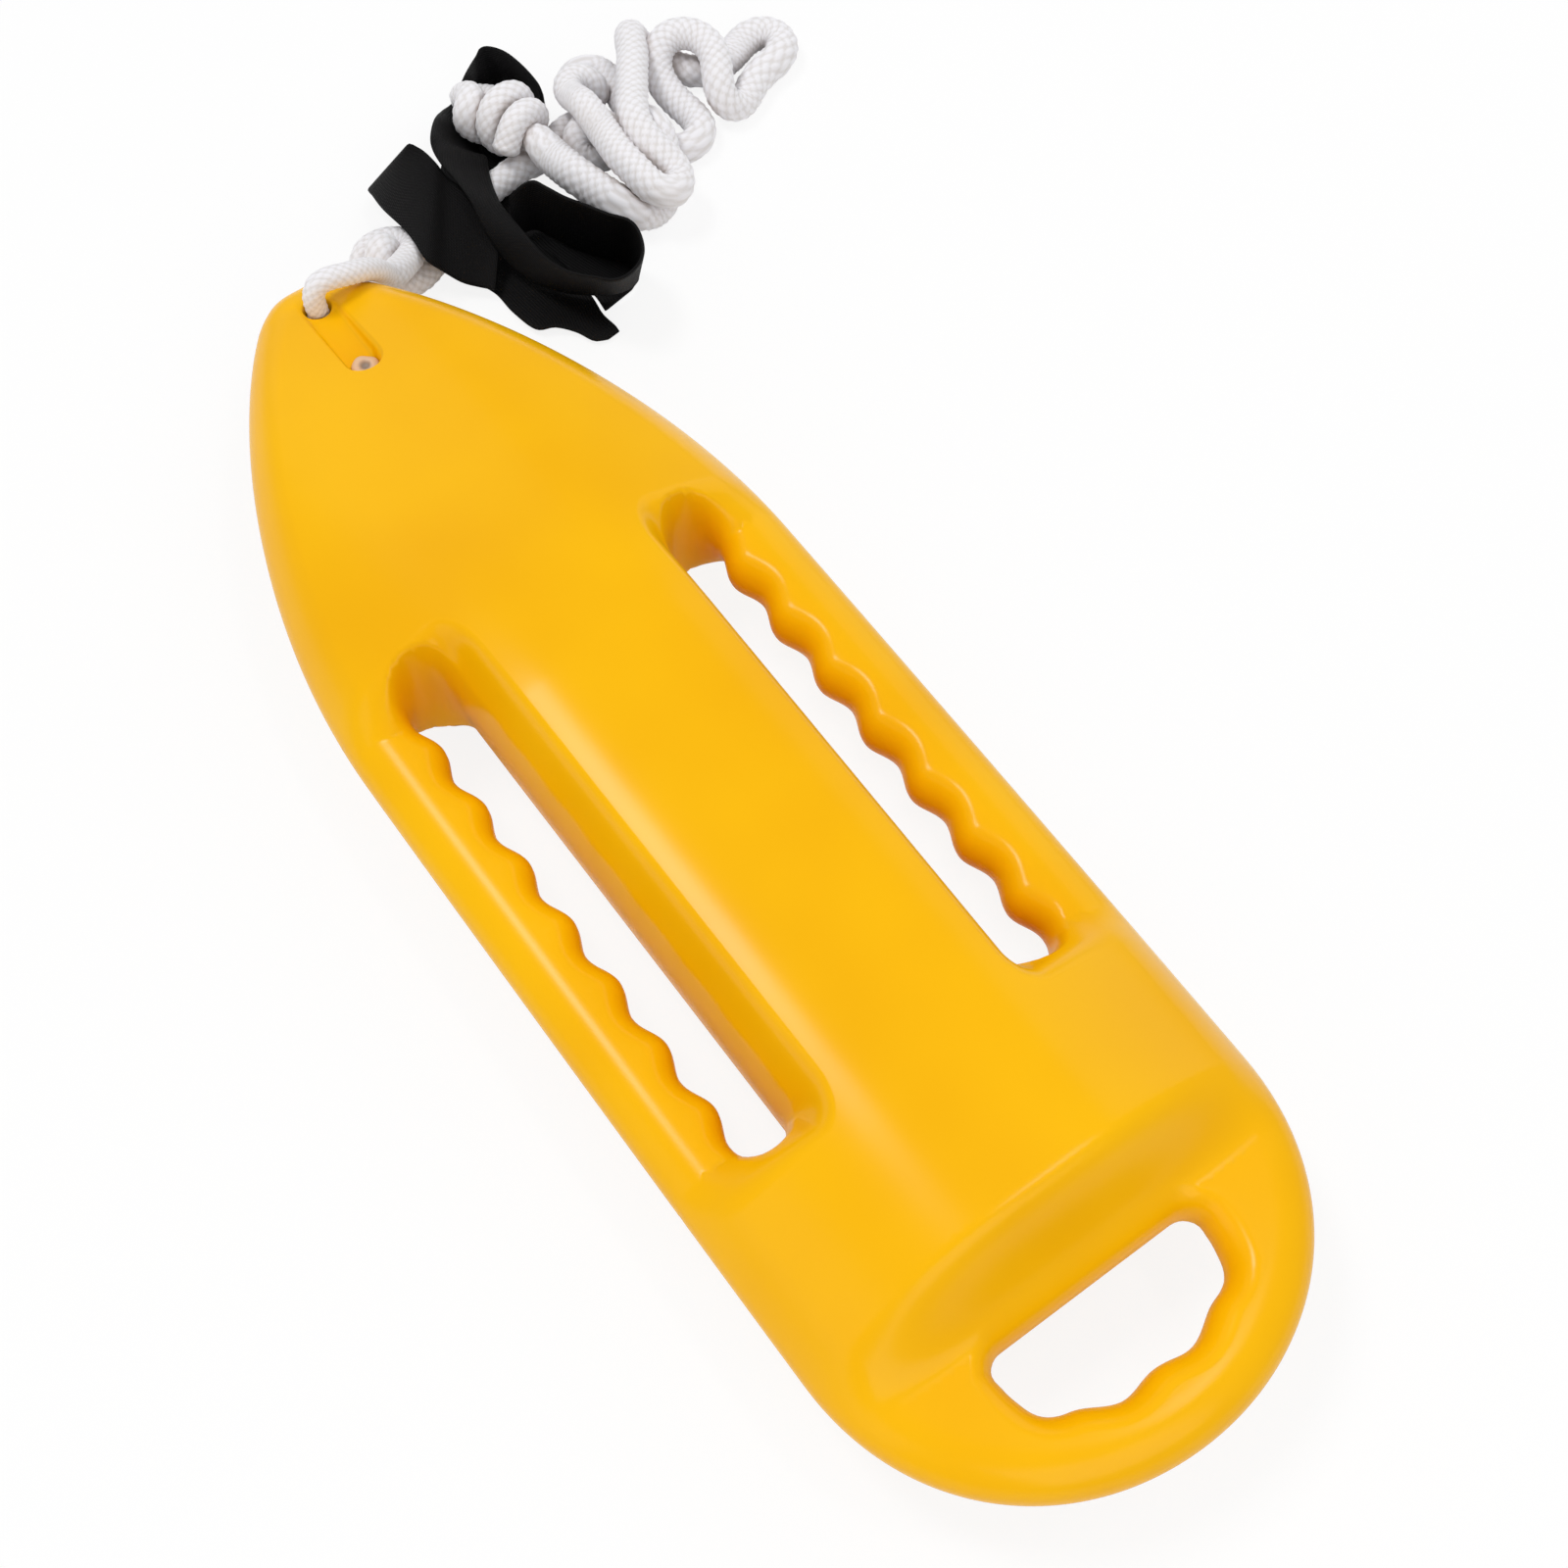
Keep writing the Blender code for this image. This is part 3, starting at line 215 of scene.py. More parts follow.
def settleRope(line):  # strands push each other apart, sink, and keep their least bend
    radius = line[:, 3] * rope["diameter"] / 2
    need = radius[:, None] + radius[None]
    step = np.linalg.norm(np.diff(line[:, :3], axis=0), axis=1).mean()
    order = np.arange(len(line))
    apart = np.abs(order[:, None] - order[None]) * step > need * rope["reach"]
    need = need + rope["space"]
    hold = line[:, 4:5]
    home = line[:, :3]
    place = home.copy()
    for turn in range(rope["turns"]):
        late = turn / rope["turns"]
        between = place[:, None] - place[None]
        distance = np.linalg.norm(between, axis=2) + 1e-9
        near = (distance < need) & apart
        depth = np.where(near, (need - distance) / distance / 2, 0)
        count = near.sum(axis=1)[:, None]
        pushed = (depth[..., None] * between).sum(axis=1) / np.maximum(count, 1)
        moved = place + rope["push"] * pushed
        if late < rope["heldShare"]:
            moved += (home - moved) * hold * np.where(count == 0, 1, rope["touchHold"])
            moved[:, 2:] -= rope["sink"] * (hold < rope["coreHold"])
        bow = np.zeros_like(moved)
        bow[1:-1] = (moved[:-2] + moved[2:]) / 2 - moved[1:-1]
        curve = 2 * np.linalg.norm(bow, axis=1) / step ** 2
        sharp = np.clip((curve * rope["leastBend"] - 1) * rope["sharpGain"], 0, 1)[:, None]
        ease = rope["ease"] * (hold < rope["wrapHold"])
        if late < rope["firmShare"]:
            moved += bow * (ease * (1 - sharp) + rope["ease"] * sharp)
        else:
            moved += bow * rope["lateEase"]
        for _ in range(rope["mendRounds"]):
            runs = np.diff(moved, axis=0)
            length = np.linalg.norm(runs, axis=1)[:, None]
            mend = runs * (1 - step / length) * rope["mendShare"]
            moved[:-1] += mend
            moved[1:] -= mend
        lift = np.clip((moved[:, 1] - rope["strapLiftFrom"]) / rope["strapLiftRamp"], 0, 1)
        floor = radius + rope["floorSpace"] + rope["strapLift"] * lift
        moved[:, 2] = np.maximum(moved[:, 2], floor)
        moved[:rope["fixedPoints"]] = place[:rope["fixedPoints"]]
        place = moved
    return np.column_stack([place, line[:, 3]])


braid = {
    "strands": 8,  # each way round
    "layLength": 0.034,
    "relief": 0.0006,
    "meanHeight": 0.75,
    "crossing": 4.0,  # how sharply one strand gives way to another
    "crossFall": 0.4,
    "pressed": 1.3,  # the slack braid opens and flattens to this many times the bare width
    "pressedGain": 0.75,
    "pressedFrom": 0.075,
    "pressedRamp": 0.030,
    "mostWide": 1.76,
    "sides": 40,
    "step": 0.001,
    "endRound": 0.004,
    "leastEnd": 0.05,
    "floorLift": 0.0001,
}


def pathFrames(points):
    ahead = np.gradient(points, axis=0)
    ahead /= np.linalg.norm(ahead, axis=1)[:, None]
    side = np.cross(ahead[0], (0.3, 0.2, 1.0))
    side /= np.linalg.norm(side)
    sides = [side]
    for k in range(1, len(points)):
        side = sides[-1] - ahead[k] * (sides[-1] @ ahead[k])
        sides.append(side / np.linalg.norm(side))
    sides = np.array(sides)
    return sides, np.cross(ahead, sides)


def braidHeight(around, along):  # over and under strands, 0 in the furrows to 1 on a strand
    lay = 2 * math.pi * along / braid["layLength"] * braid["strands"] / 2
    first = braid["strands"] * around / 2 + lay
    second = braid["strands"] * around / 2 - lay
    over = 0.5 + 0.5 * np.tanh(braid["crossing"] * np.sin(first) * np.sin(second))
    ridgeA, ridgeB = np.abs(np.sin(first)), np.abs(np.sin(second))
    fall = braid["crossFall"]
    return over * ridgeA * (1 - fall + fall * ridgeB) + (1 - over) * ridgeB * (1 - fall + fall * ridgeA)


def ringWays(side, rise, around):  # the ways from each point of a line to the ring round it
    return np.cos(around)[None, :, None] * side[:, None] + np.sin(around)[None, :, None] * rise[:, None]


def braidedTube(name, line, diameter, finish, loose=False):
    fine = evenly(catmull(line, 8), braid["step"])
    points, width = fine[:, :3], fine[:, 3]
    runs = np.r_[0, np.cumsum(np.linalg.norm(np.diff(points, axis=0), axis=1))]
    if loose:
        opened = braid["pressed"] + braid["pressedGain"] * (width - 1)
        share = smoothStep((runs - braid["pressedFrom"]) / braid["pressedRamp"])
        width = width + (np.minimum(opened, braid["mostWide"]) - width) * share
    side, rise = pathFrames(points)
    sides = braid["sides"]
    around = np.linspace(0, 2 * math.pi, sides, endpoint=False)
    height = braidHeight(around[None], runs[:, None] / np.sqrt(width[:, None]))
    relief = (height - braid["meanHeight"]) * braid["relief"]
    radius = width[:, None] * diameter / 2 + relief * width[:, None]
    if loose:
        left = np.clip((runs[-1] - runs) / braid["endRound"], 0, 1)
        radius = radius * np.maximum(np.sqrt(1 - (1 - left) ** 2), braid["leastEnd"])[:, None]
    skin = (points[:, None] + radius[..., None] * ringWays(side, rise, around)).reshape(-1, 3)
    skin[:, 2] = np.maximum(skin[:, 2], braid["floorLift"])
    rows = len(points)
    index = np.arange(rows * sides).reshape(rows, sides)
    nextRound = np.roll(index, -1, axis=1)
    quads = np.stack([index[:-1], nextRound[:-1], nextRound[1:], index[1:]], axis=-1).reshape(-1, 4)
    faces = [tuple(q) for q in quads]
    ends = np.vstack([points[0], points[-1]])
    first, last = len(skin), len(skin) + 1
    for k in range(sides):
        after = (k + 1) % sides
        faces.append((first, after, k))
        faces.append((last, (rows - 1) * sides + k, (rows - 1) * sides + after))
    made = addMesh(name, np.vstack([skin, ends]), faces, finish)
    store(made, "strand", np.r_[height.ravel(), 0.5, 0.5])
    uv = made.data.uv_layers.new(name="lay")
    corners = np.zeros(len(made.data.loops), int)
    made.data.loops.foreach_get("vertex_index", corners)
    flat = np.column_stack([np.repeat(runs, sides), np.tile(around, rows) * diameter / 2])
    flat = np.vstack([flat, [0, 0], [runs[-1], 0]])[corners]
    uv.data.foreach_set("uv", flat.ravel())
    return made


def store(made, name, values):
    layer = made.data.attributes.new(name, "FLOAT", "POINT")
    layer.data.foreach_set("value", np.asarray(values, np.float32))


# Materials

def newMaterial(name):
    made = bpy.data.materials.new(name)
    made.use_nodes = True
    return made, made.node_tree.nodes, made.node_tree.links, made.node_tree.nodes["Principled BSDF"]


def setInputs(node, values):
    for name, value in values.items():
        node.inputs[name].default_value = value


def makeGrain():  # fine and broad unevenness of a surface, for colour, gloss and relief
    group = bpy.data.node_groups.new("surfaceGrain", "ShaderNodeTree")
    face = group.interface
    for name, value in (("Fine", 700.0), ("Broad", 12.0)):
        made = face.new_socket(name, in_out="INPUT", socket_type="NodeSocketFloat")
        made.default_value = value
    for name in ("Fine mask", "Broad mask"):
        face.new_socket(name, in_out="OUTPUT", socket_type="NodeSocketFloat")
    nodes, links = group.nodes, group.links
    entry = nodes.new("NodeGroupInput")
    leave = nodes.new("NodeGroupOutput")
    place = nodes.new("ShaderNodeTexCoord")
    for name, detail in (("Fine", 3.0), ("Broad", 2.0)):
        noise = nodes.new("ShaderNodeTexNoise")
        noise.inputs["Detail"].default_value = detail
        links.new(place.outputs["Object"], noise.inputs["Vector"])
        links.new(entry.outputs[name], noise.inputs["Scale"])
        links.new(noise.outputs["Fac"], leave.inputs[name + " mask"])
    return group


grain = makeGrain()


def addGrain(nodes, fine, broad):
    made = nodes.new("ShaderNodeGroup")
    made.node_tree = grain
    setInputs(made, {"Fine": fine, "Broad": broad})
    return made


def ramp(nodes, links, source, stops):
    made = nodes.new("ShaderNodeValToRGB")
    bar = made.color_ramp
    while len(bar.elements) < len(stops):
        bar.elements.new(0.5)
    for element, (place, colour) in zip(bar.elements, stops):
        element.position = place
        element.color = (*colour, 1.0)
    links.new(source, made.inputs["Fac"])
    return made.outputs["Color"]


def spread(nodes, links, source, low, high):
    made = nodes.new("ShaderNodeMapRange")
    setInputs(made, {"To Min": low, "To Max": high})
    links.new(source, made.inputs["Value"])
    return made.outputs["Result"]


def addBump(nodes, links, height, strength, distance, below=None):
    made = nodes.new("ShaderNodeBump")
    setInputs(made, {"Strength": strength, "Distance": distance})
    links.new(height, made.inputs["Height"])
    if below:
        links.new(below, made.inputs["Normal"])
    return made.outputs["Normal"]


plastic = {
    "deep": (0.880, 0.432, 0.0008),
    "light": (0.935, 0.492, 0.0012),
    "roughLow": 0.18,
    "roughHigh": 0.25,
    "grain": (900, 9),  # fine and broad
    "waves": (0.25, 0.002),  # strength and distance of the relief
    "pits": (0.10, 0.0002),
    "shader": {"Specular IOR Level": 0.15},
}


def yellowPlastic():
    made, nodes, links, shader = newMaterial("mouldedYellow")
    mask = addGrain(nodes, *plastic["grain"])
    fine, broad = mask.outputs["Fine mask"], mask.outputs["Broad mask"]
    colour = ramp(nodes, links, broad, ((0.3, plastic["deep"]), (0.7, plastic["light"])))
    links.new(colour, shader.inputs["Base Color"])
    rough = spread(nodes, links, broad, plastic["roughLow"], plastic["roughHigh"])
    links.new(rough, shader.inputs["Roughness"])
    waves = addBump(nodes, links, broad, *plastic["waves"])
    links.new(addBump(nodes, links, fine, *plastic["pits"], waves), shader.inputs["Normal"])
    setInputs(shader, plastic["shader"])
    return made


fibre = {
    # painted shade: the darker colour of the braid's furrows
    "braidShade": (0.70, 0.67, 0.66),
    "crest": (0.87, 0.86, 0.89),
    # painted shade: the colour that the rope darkens to deep between its strands
    "gapShade": (0.52, 0.43, 0.37),
    "grain": (1600, 60),
    "fuzz": (0.35, 0.0004),
    "shader": {"Roughness": 0.85, "Specular IOR Level": 0.2, "Sheen Weight": 0.25,
               "Sheen Roughness": 0.6},
}


def ropeFibre():
    made, nodes, links, shader = newMaterial("braidedFibre")
    strand = nodes.new("ShaderNodeAttribute")
    strand.attribute_name = "strand"
    mask = addGrain(nodes, *fibre["grain"])
    # painted shade: the furrows get the darker colour, the crests the rope's own white
    stops = ((0.10, fibre["braidShade"]), (0.70, fibre["crest"]))
    colour = ramp(nodes, links, strand.outputs["Fac"], stops)
    # painted shade: the rope colour is multiplied darker where other strands hem it in
    dark = nodes.new("ShaderNodeAttribute")
    dark.attribute_name = "paintedShade"
    mix = nodes.new("ShaderNodeMix")
    mix.data_type = "RGBA"
    mix.blend_type = "MULTIPLY"
    tint = ramp(nodes, links, dark.outputs["Fac"], ((0.15, (1, 1, 1)), (0.95, fibre["gapShade"])))
    mix.inputs["Factor"].default_value = 1.0
    links.new(colour, mix.inputs["A"])
    links.new(tint, mix.inputs["B"])
    links.new(mix.outputs["Result"], shader.inputs["Base Color"])
    setInputs(shader, fibre["shader"])
    fuzz = addBump(nodes, links, mask.outputs["Fine mask"], *fibre["fuzz"])
    links.new(fuzz, shader.inputs["Normal"])
    return made


webbing = {
    # painted shade: the darker colour of the weave's low parts, high is its raised threads
    "weaveShade": (0.0022, 0.0021, 0.0024),
    "high": (0.0075, 0.0070, 0.0072),
    "ribs": 620.0,
    "cords": 380.0,
    "wave": {"Distortion": 0.6, "Detail Scale": 2.0},
    "grain": (1400, 80),
    "lint": (0.3, 0.0003),
    "weave": (0.7, 0.0005),
    "shader": {"Roughness": 0.62, "Specular IOR Level": 0.13},
}


def blackWebbing():
    made, nodes, links, shader = newMaterial("wovenBlack")
    place = nodes.new("ShaderNodeUVMap")
    place.uv_map = "weave"
    waves = []
    for turn, scale in ((0, webbing["ribs"]), (math.pi / 2, webbing["cords"])):
        mapping = nodes.new("ShaderNodeMapping")
        mapping.inputs["Rotation"].default_value = (0, 0, turn)
        links.new(place.outputs["UV"], mapping.inputs["Vector"])
        wave = nodes.new("ShaderNodeTexWave")
        wave.inputs["Scale"].default_value = scale / 2
        setInputs(wave, webbing["wave"])
        links.new(mapping.outputs["Vector"], wave.inputs["Vector"])
        waves.append(wave.outputs["Fac"])
    weave = nodes.new("ShaderNodeMath")
    weave.operation = "MULTIPLY"
    links.new(waves[0], weave.inputs[0])
    links.new(waves[1], weave.inputs[1])
    height = weave.outputs["Value"]
    # painted shade: the weave is darker where it is low
    colour = ramp(nodes, links, height, ((0.0, webbing["weaveShade"]), (0.8, webbing["high"])))
    links.new(colour, shader.inputs["Base Color"])
    mask = addGrain(nodes, *webbing["grain"])
    lint = addBump(nodes, links, mask.outputs["Fine mask"], *webbing["lint"])
    links.new(addBump(nodes, links, height, *webbing["weave"], lint), shader.inputs["Normal"])
    setInputs(shader, webbing["shader"])
    return made


melted = {
    "ring": (0.74, 0.50, 0.32),
    "middle": (0.30, 0.23, 0.19),
    "grain": (500, 120),
    "lumps": (0.5, 0.0006),
    "shader": {"Roughness": 0.42},
}


def meltedEnd():
    made, nodes, links, shader = newMaterial("meltedFibre")
    spot = nodes.new("ShaderNodeAttribute")
    spot.attribute_name = "middle"
    colour = ramp(nodes, links, spot.outputs["Fac"], ((0.48, melted["ring"]), (0.78, melted["middle"])))
    links.new(colour, shader.inputs["Base Color"])
    mask = addGrain(nodes, *melted["grain"])
    lumps = addBump(nodes, links, mask.outputs["Broad mask"], *melted["lumps"])
    links.new(lumps, shader.inputs["Normal"])
    setInputs(shader, melted["shader"])
    return made


def plainMaterial(name, colour, roughness, fine, relief):
    made, nodes, links, shader = newMaterial(name)
    mask = addGrain(nodes, fine, fine / 10)
    dim = tuple(c * 0.85 for c in colour)
    mixed = ramp(nodes, links, mask.outputs["Broad mask"], ((0.3, dim), (0.7, colour)))
    links.new(mixed, shader.inputs["Base Color"])
    links.new(addBump(nodes, links, mask.outputs["Fine mask"], 0.4, relief), shader.inputs["Normal"])
    shader.inputs["Roughness"].default_value = roughness
    return made


floatFinish = yellowPlastic()
ropeFinish = ropeFibre()
strapFinish = blackWebbing()
endFinish = meltedEnd()
foamFinish = plainMaterial("foamCream", (0.80, 0.72, 0.52), 0.9, 300, 0.001)
plugFinish = plainMaterial("plugBlack", (0.02, 0.02, 0.02), 0.5, 600, 0.0002)
print("materials made")


# The tow rope first, as one tube from the front hole to its closing turns

ropeLine = settleRope(evenly(catmull(ropeRoute()), rope["step"]))
towRope = braidedTube("towRope", ropeLine, rope["diameter"], ropeFinish, loose=True)

held = {
    "frontHole": 0.333,
    "rearHole": 0.2845,
    "top": 0.0677,
    "low": 0.0305,
    "bend": 0.008,
    "rearTop": 0.0700,
}


def heldLine():
    low, turn, front, rear = held["low"], held["bend"], held["frontHole"], held["rearHole"]
    rows = [(front, 0, held["top"]), (front, 0, (held["top"] + low + turn) / 2)]
    rows.append((front, 0, low + turn))
    quarter = np.linspace(0, math.pi / 2, 5)[1:]
    rows += [(front - turn + turn * math.cos(a), 0, low + turn - turn * math.sin(a)) for a in quarter]
    back = (0, *quarter)
    rows += [(rear + turn - turn * math.sin(a), 0, low + turn - turn * math.cos(a)) for a in back]
    rows += [(rear, 0, (held["rearTop"] + low + turn) / 2), (rear, 0, held["rearTop"])]
    return np.array([(*row, 1.0) for row in rows])


heldRope = braidedTube("heldRope", heldLine(), rope["heldDiameter"], ropeFinish)
print("rope laid, points", len(ropeLine))


# How hemmed in each bit of rope is by other strands, for the painted shade between its strands

paintedShade = {
    "reach": 0.016,
    "rays": 6,
    "lean": 0.9,
    "start": 0.0012,
    "fade": 0.6,
    "skip": 4,  # only every fourth ring and side is measured, and the rest lie between
    "smoothing": 3,
    "coarseSides": 8,
    "held": 0.35,
}


def vertexRows(mesh, what):
    values = np.zeros(len(mesh.vertices) * 3, np.float32)
    mesh.vertices.foreach_get(what, values)
    return values.reshape(-1, 3)


# Paints shade onto the rope: rays from each point find nearby strands, and the more hits, the darker
# the rope
def paintShadeOnRope(made, others):
    points, turned = vertexRows(made.data, "co"), vertexRows(made.data, "normal")
    reach, rays, fade = paintedShade["reach"], paintedShade["rays"], paintedShade["fade"]
    sides = braid["sides"]
    tree = BVHTree.FromPolygons(*others)
    rings = (len(points) - 2) // sides
    coarseRings = list(range(0, rings, paintedShade["skip"])) + [rings - 1]
    spots = list(range(0, sides, paintedShade["skip"]))
    found = np.zeros((len(coarseRings), len(spots)))
    for i, ringNumber in enumerate(coarseRings):
        for j, spot in enumerate(spots):
            k = ringNumber * sides + spot
            normal = Vector(turned[k])
            start = Vector(points[k]) + normal * paintedShade["start"]
            aside = normal.orthogonal()
            other = normal.cross(aside)
            hits = 0.0
            for ray in range(rays):
                angle = 2 * math.pi * ray / rays
                way = normal + paintedShade["lean"] * (math.cos(angle) * aside + math.sin(angle) * other)
                hit = tree.ray_cast(start, way.normalized(), reach)
                if hit[0]:
                    hits += 1 - hit[3] / reach * fade
            hit = tree.ray_cast(start, normal, reach)
            hits += 2 * (1 - hit[3] / reach * fade) if hit[0] else 0
            found[i, j] = hits / (rays + 2)
    across = np.arange(sides)
    wide = np.array([np.interp(across, spots + [sides], np.r_[row, row[0]]) for row in found])
    full = np.array([np.interp(np.arange(rings), coarseRings, wide[:, k]) for k in range(sides)]).T
    for _ in range(paintedShade["smoothing"]):
        full[1:-1] = (full[:-2] + full[1:-1] * 2 + full[2:]) / 4
    store(made, "paintedShade", np.r_[full.ravel(), 0, 0])


def coarseTube(line, diameter):
    points = line[:, :3]
    side, rise = pathFrames(points)
    sides = paintedShade["coarseSides"]
    around = np.linspace(0, 2 * math.pi, sides, endpoint=False)
    ring = line[:, 3][:, None, None] * diameter / 2 * ringWays(side, rise, around)
    skin = (points[:, None] + ring).reshape(-1, 3)
    faces = []
    for i in range(len(points) - 1):
        for j in range(sides):
            after = (j + 1) % sides
            low, high = i * sides, (i + 1) * sides
            faces.append((low + j, low + after, high + after, high + j))
    return [tuple(p) for p in skin], faces


# Shoulder strap: both edges of the webbing along its two runs

strap = {
    "thickness": 0.0020,
    "step": 0.0020,
    "columns": 26,
    "selvedge": 0.0018,
    "rimShare": 0.45,
    "foldHeight": 1.3,  # millimetres, as in the rungs
}
loopRungs = (
    ((431, -195, 1), (429, -193, 26)), ((436, -195, 1), (433, -193, 31)),
    ((448, -195, 1), (443, -191, 36)), ((461, -192, 1), (456, -188, 38)),
    ((470, -186, 1), (465, -183, 38)), ((468, -179, 1), (467, -178, 38)),
    ((468, -175, 1), (469, -175, 32)), ((458, -173, 1), (479, -171, 12)),
    ((449, -168, 1), (474, -159, 3)), ((442, -161, 1), (466, -147, 9)),
    ((437, -153, 1), (448, -134, 26)), ((427, -149, 4), (430, -122, 36)),
    ((415, -146, 16), (420, -117, 37)), ((400, -139, 20), (408, -115, 37)),
    ((384, -133, 24), (393, -115, 37)), ((368, -129, 28), (376, -114, 36)),
    ((344, -127, 33), (364, -113, 27)), ((319, -125, 38), (349, -115, 16)),
    ((302, -126, 43), (330, -121, 10)), ((292, -129, 46), (317, -131, 7)),
    ((284, -134, 48), (306, -141, 8)), ((276, -140, 49), (299, -151, 8)),
    ((274, -148, 49), (298, -160, 6)), ((277, -158, 49), (300, -167, 4)),
    ((285, -166, 48), (303, -171, 3)), ((297, -171, 48), (308, -173, 2)),
    ((307, -171, 47), (316, -173, 2)), ((316, -164, 48), (325, -166, 2)),
    ((328, -158, 48), (336, -159, 2)), ((339, -152, 48), (346, -153, 3)),
    ((352, -148, 47), (357, -148, 4)), ((362, -146, 44), (364, -144, 5)),
    ((368, -141, 38), (364, -136, 7)), ((371, -135, 31), (360, -127, 9)),
)
tailRungs = (
    ((361, -121, 18), (338, -102, 8)), ((373, -120, 22), (345, -96, 8)),
    ((390, -119, 28), (351, -89, 11)), ((403, -115, 30), (357, -82, 19)),
    ((411, -113.5, 35), (361, -75, 30)), ((417, -111, 40), (383, -77, 29)),
    ((421, -109, 42), (410, -77, 23)), ((424, -107, 43), (431, -80, 16)),
    ((426, -107, 41), (439, -82, 9)), ((428, -109, 36), (440, -84, 4)),
    ((429, -112, 25), (435, -86, 1)), ((425, -115, 12), (421, -87, 1)),
    ((413, -121, 3), (399, -87, 1)), ((397, -128, 1), (378, -90, 1)),
    ((379, -136, 1), (358, -97, 1)), ((359, -142, 1), (342, -103, 1)),
    ((338, -144, 2), (324, -103, 3)), ((318, -145, 2), (305, -106, 5)),
    ((305, -144, 2), (299, -115, 6)), ((293, -142, 3), (291, -123, 4)),
    ((283, -143, 3), (281, -128, 3)), ((279, -143, 2), (278, -135, 2)),
)


foldEdges = (  # the layer that lies flat under the standing folds
    ((296, -145), (300, -166)), ((310, -146), (306, -174)), ((325, -141), (325, -173)),
    ((345, -136), (345, -167)), ((362, -134), (364, -158)), ((380, -134), (380, -158)),
    ((398, -132), (398, -160)), ((416, -126), (416, -168)), ((432, -124), (434, -178)),
    ((446, -138), (448, -182)), ((458, -158), (456, -186)),
)
foldRungs = [[(x, y, strap["foldHeight"]) for x, y in rung] for rung in foldEdges]


def strapBand(name, rungs, finish):
    edges = catmull([(*a, *b) for a, b in rungs]) / 1000
    middle = (edges[:, :3] + edges[:, 3:]) / 2
    along = np.r_[0, np.cumsum(np.linalg.norm(np.diff(middle, axis=0), axis=1))]
    places = np.linspace(0, along[-1], round(along[-1] / strap["step"]) + 1)
    edges = np.column_stack([np.interp(places, along, edges[:, k]) for k in range(6)])
    columns = strap["columns"]
    share = np.linspace(0, 1, columns)
    across = share[None, :, None]
    grid = edges[:, None, :3] * (1 - across) + edges[:, None, 3:] * across
    normal = np.cross(np.gradient(grid, axis=0), np.gradient(grid, axis=1))
    normal /= np.linalg.norm(normal, axis=2)[..., None]
    wide = np.linalg.norm(edges[:, 3:] - edges[:, :3], axis=1)
    fromEdge = np.minimum(share, 1 - share)[None] * wide[:, None]
    full = np.sqrt(np.clip(fromEdge / strap["selvedge"], 0, 1))
    half = strap["thickness"] / 2 * (strap["rimShare"] + (1 - strap["rimShare"]) * full)
    upper = (grid + normal * half[..., None]).reshape(-1, 3)
    lower = (grid - normal * half[..., None]).reshape(-1, 3)
    rows = len(places)
    base = rows * columns
    faces = []
    for i in range(rows - 1):
        for j in range(columns - 1):
            a, b = i * columns + j, i * columns + j + 1
            c, d = b + columns, a + columns
            faces.append((a, d, c, b))
            faces.append((base + a, base + b, base + c, base + d))
    rim = [i * columns for i in range(rows)]
    rim += [(rows - 1) * columns + j for j in range(1, columns)]
    rim += [i * columns + columns - 1 for i in range(rows - 2, -1, -1)]
    rim += list(range(columns - 2, 0, -1))
    for a, b in zip(rim, rim[1:] + rim[:1]):
        faces.append((a, base + a, base + b, b))
    made = addMesh(name, np.vstack([upper, lower]), faces, finish)
    build = bmesh.new()
    build.from_mesh(made.data)
    bmesh.ops.recalc_face_normals(build, faces=build.faces)
    build.to_mesh(made.data)
    build.free()
    uv = made.data.uv_layers.new(name="weave")
    corners = np.zeros(len(made.data.loops), int)
    made.data.loops.foreach_get("vertex_index", corners)
    flat = np.column_stack([np.repeat(places, columns), (share[None] * wide[:, None]).ravel()])
    uv.data.foreach_set("uv", np.vstack([flat, flat])[corners].ravel())
    made["flatLength"] = float(along[-1])
    made["flatWidth"] = float(wide.mean())
    return made


strapLoop = strapBand("strapLoop", loopRungs, strapFinish)
strapFold = strapBand("strapFold", foldRungs, strapFinish)
strapTail = strapBand("strapTail", tailRungs, strapFinish)
print("strap folded", round(strapLoop["flatLength"], 3), round(strapTail["flatLength"], 3))

paintShadeOnRope(towRope, coarseTube(ropeLine, rope["diameter"]))
# the run inside the float gets one even painted shade
store(heldRope, "paintedShade", np.full(len(heldRope.data.vertices), paintedShade["held"]))
print("rope shelter measured")


# The float: a smooth skin lifted over its plan, the same above and below

hull = {
    "length": 0.715, "width": 0.238, "height": 0.110, "wing": 0.016,
    "edge": 0.020, "coreEdge": 0.004, "gripEdge": 0.012, "gripBlend": 0.030, "gripEnd": 0.020,
    "gripEndShare": 0.35, "barBlend": 0.0216, "holeEdge": 0.0016, "leastEdge": 0.0015,
}
plan = {
    "tailRound": 0.1124, "tailBluntness": 0.064, "tailShoulder": 0.045, "tailShoulderDrop": 0.0025,
    "tailSideDrop": 0.0019, "flankEase": 0.090, "flankDrop": 0.0007, "noseTaper": 0.267,
    "noseShoulder": 0.1068, "noseFlankRun": 0.042, "noseFlankRise": 0.038, "tipWidth": 0.060,
    "tipLength": 0.0125, "tipCorner": 0.0174, "tipFlat": 0.0105,
}
crown = {
    "plateau": 0.056, "power": 1.6, "noseSlope": 0.297, "nosePower": 1.39, "noseRidge": 0.0123,
    "tailStart": 0.1145, "tailSlope": 0.0345, "rimSoftness": 0.3, "corner": 2.0,
    "ridgeSoftness": 0.012, "leastFall": 0.003,
}
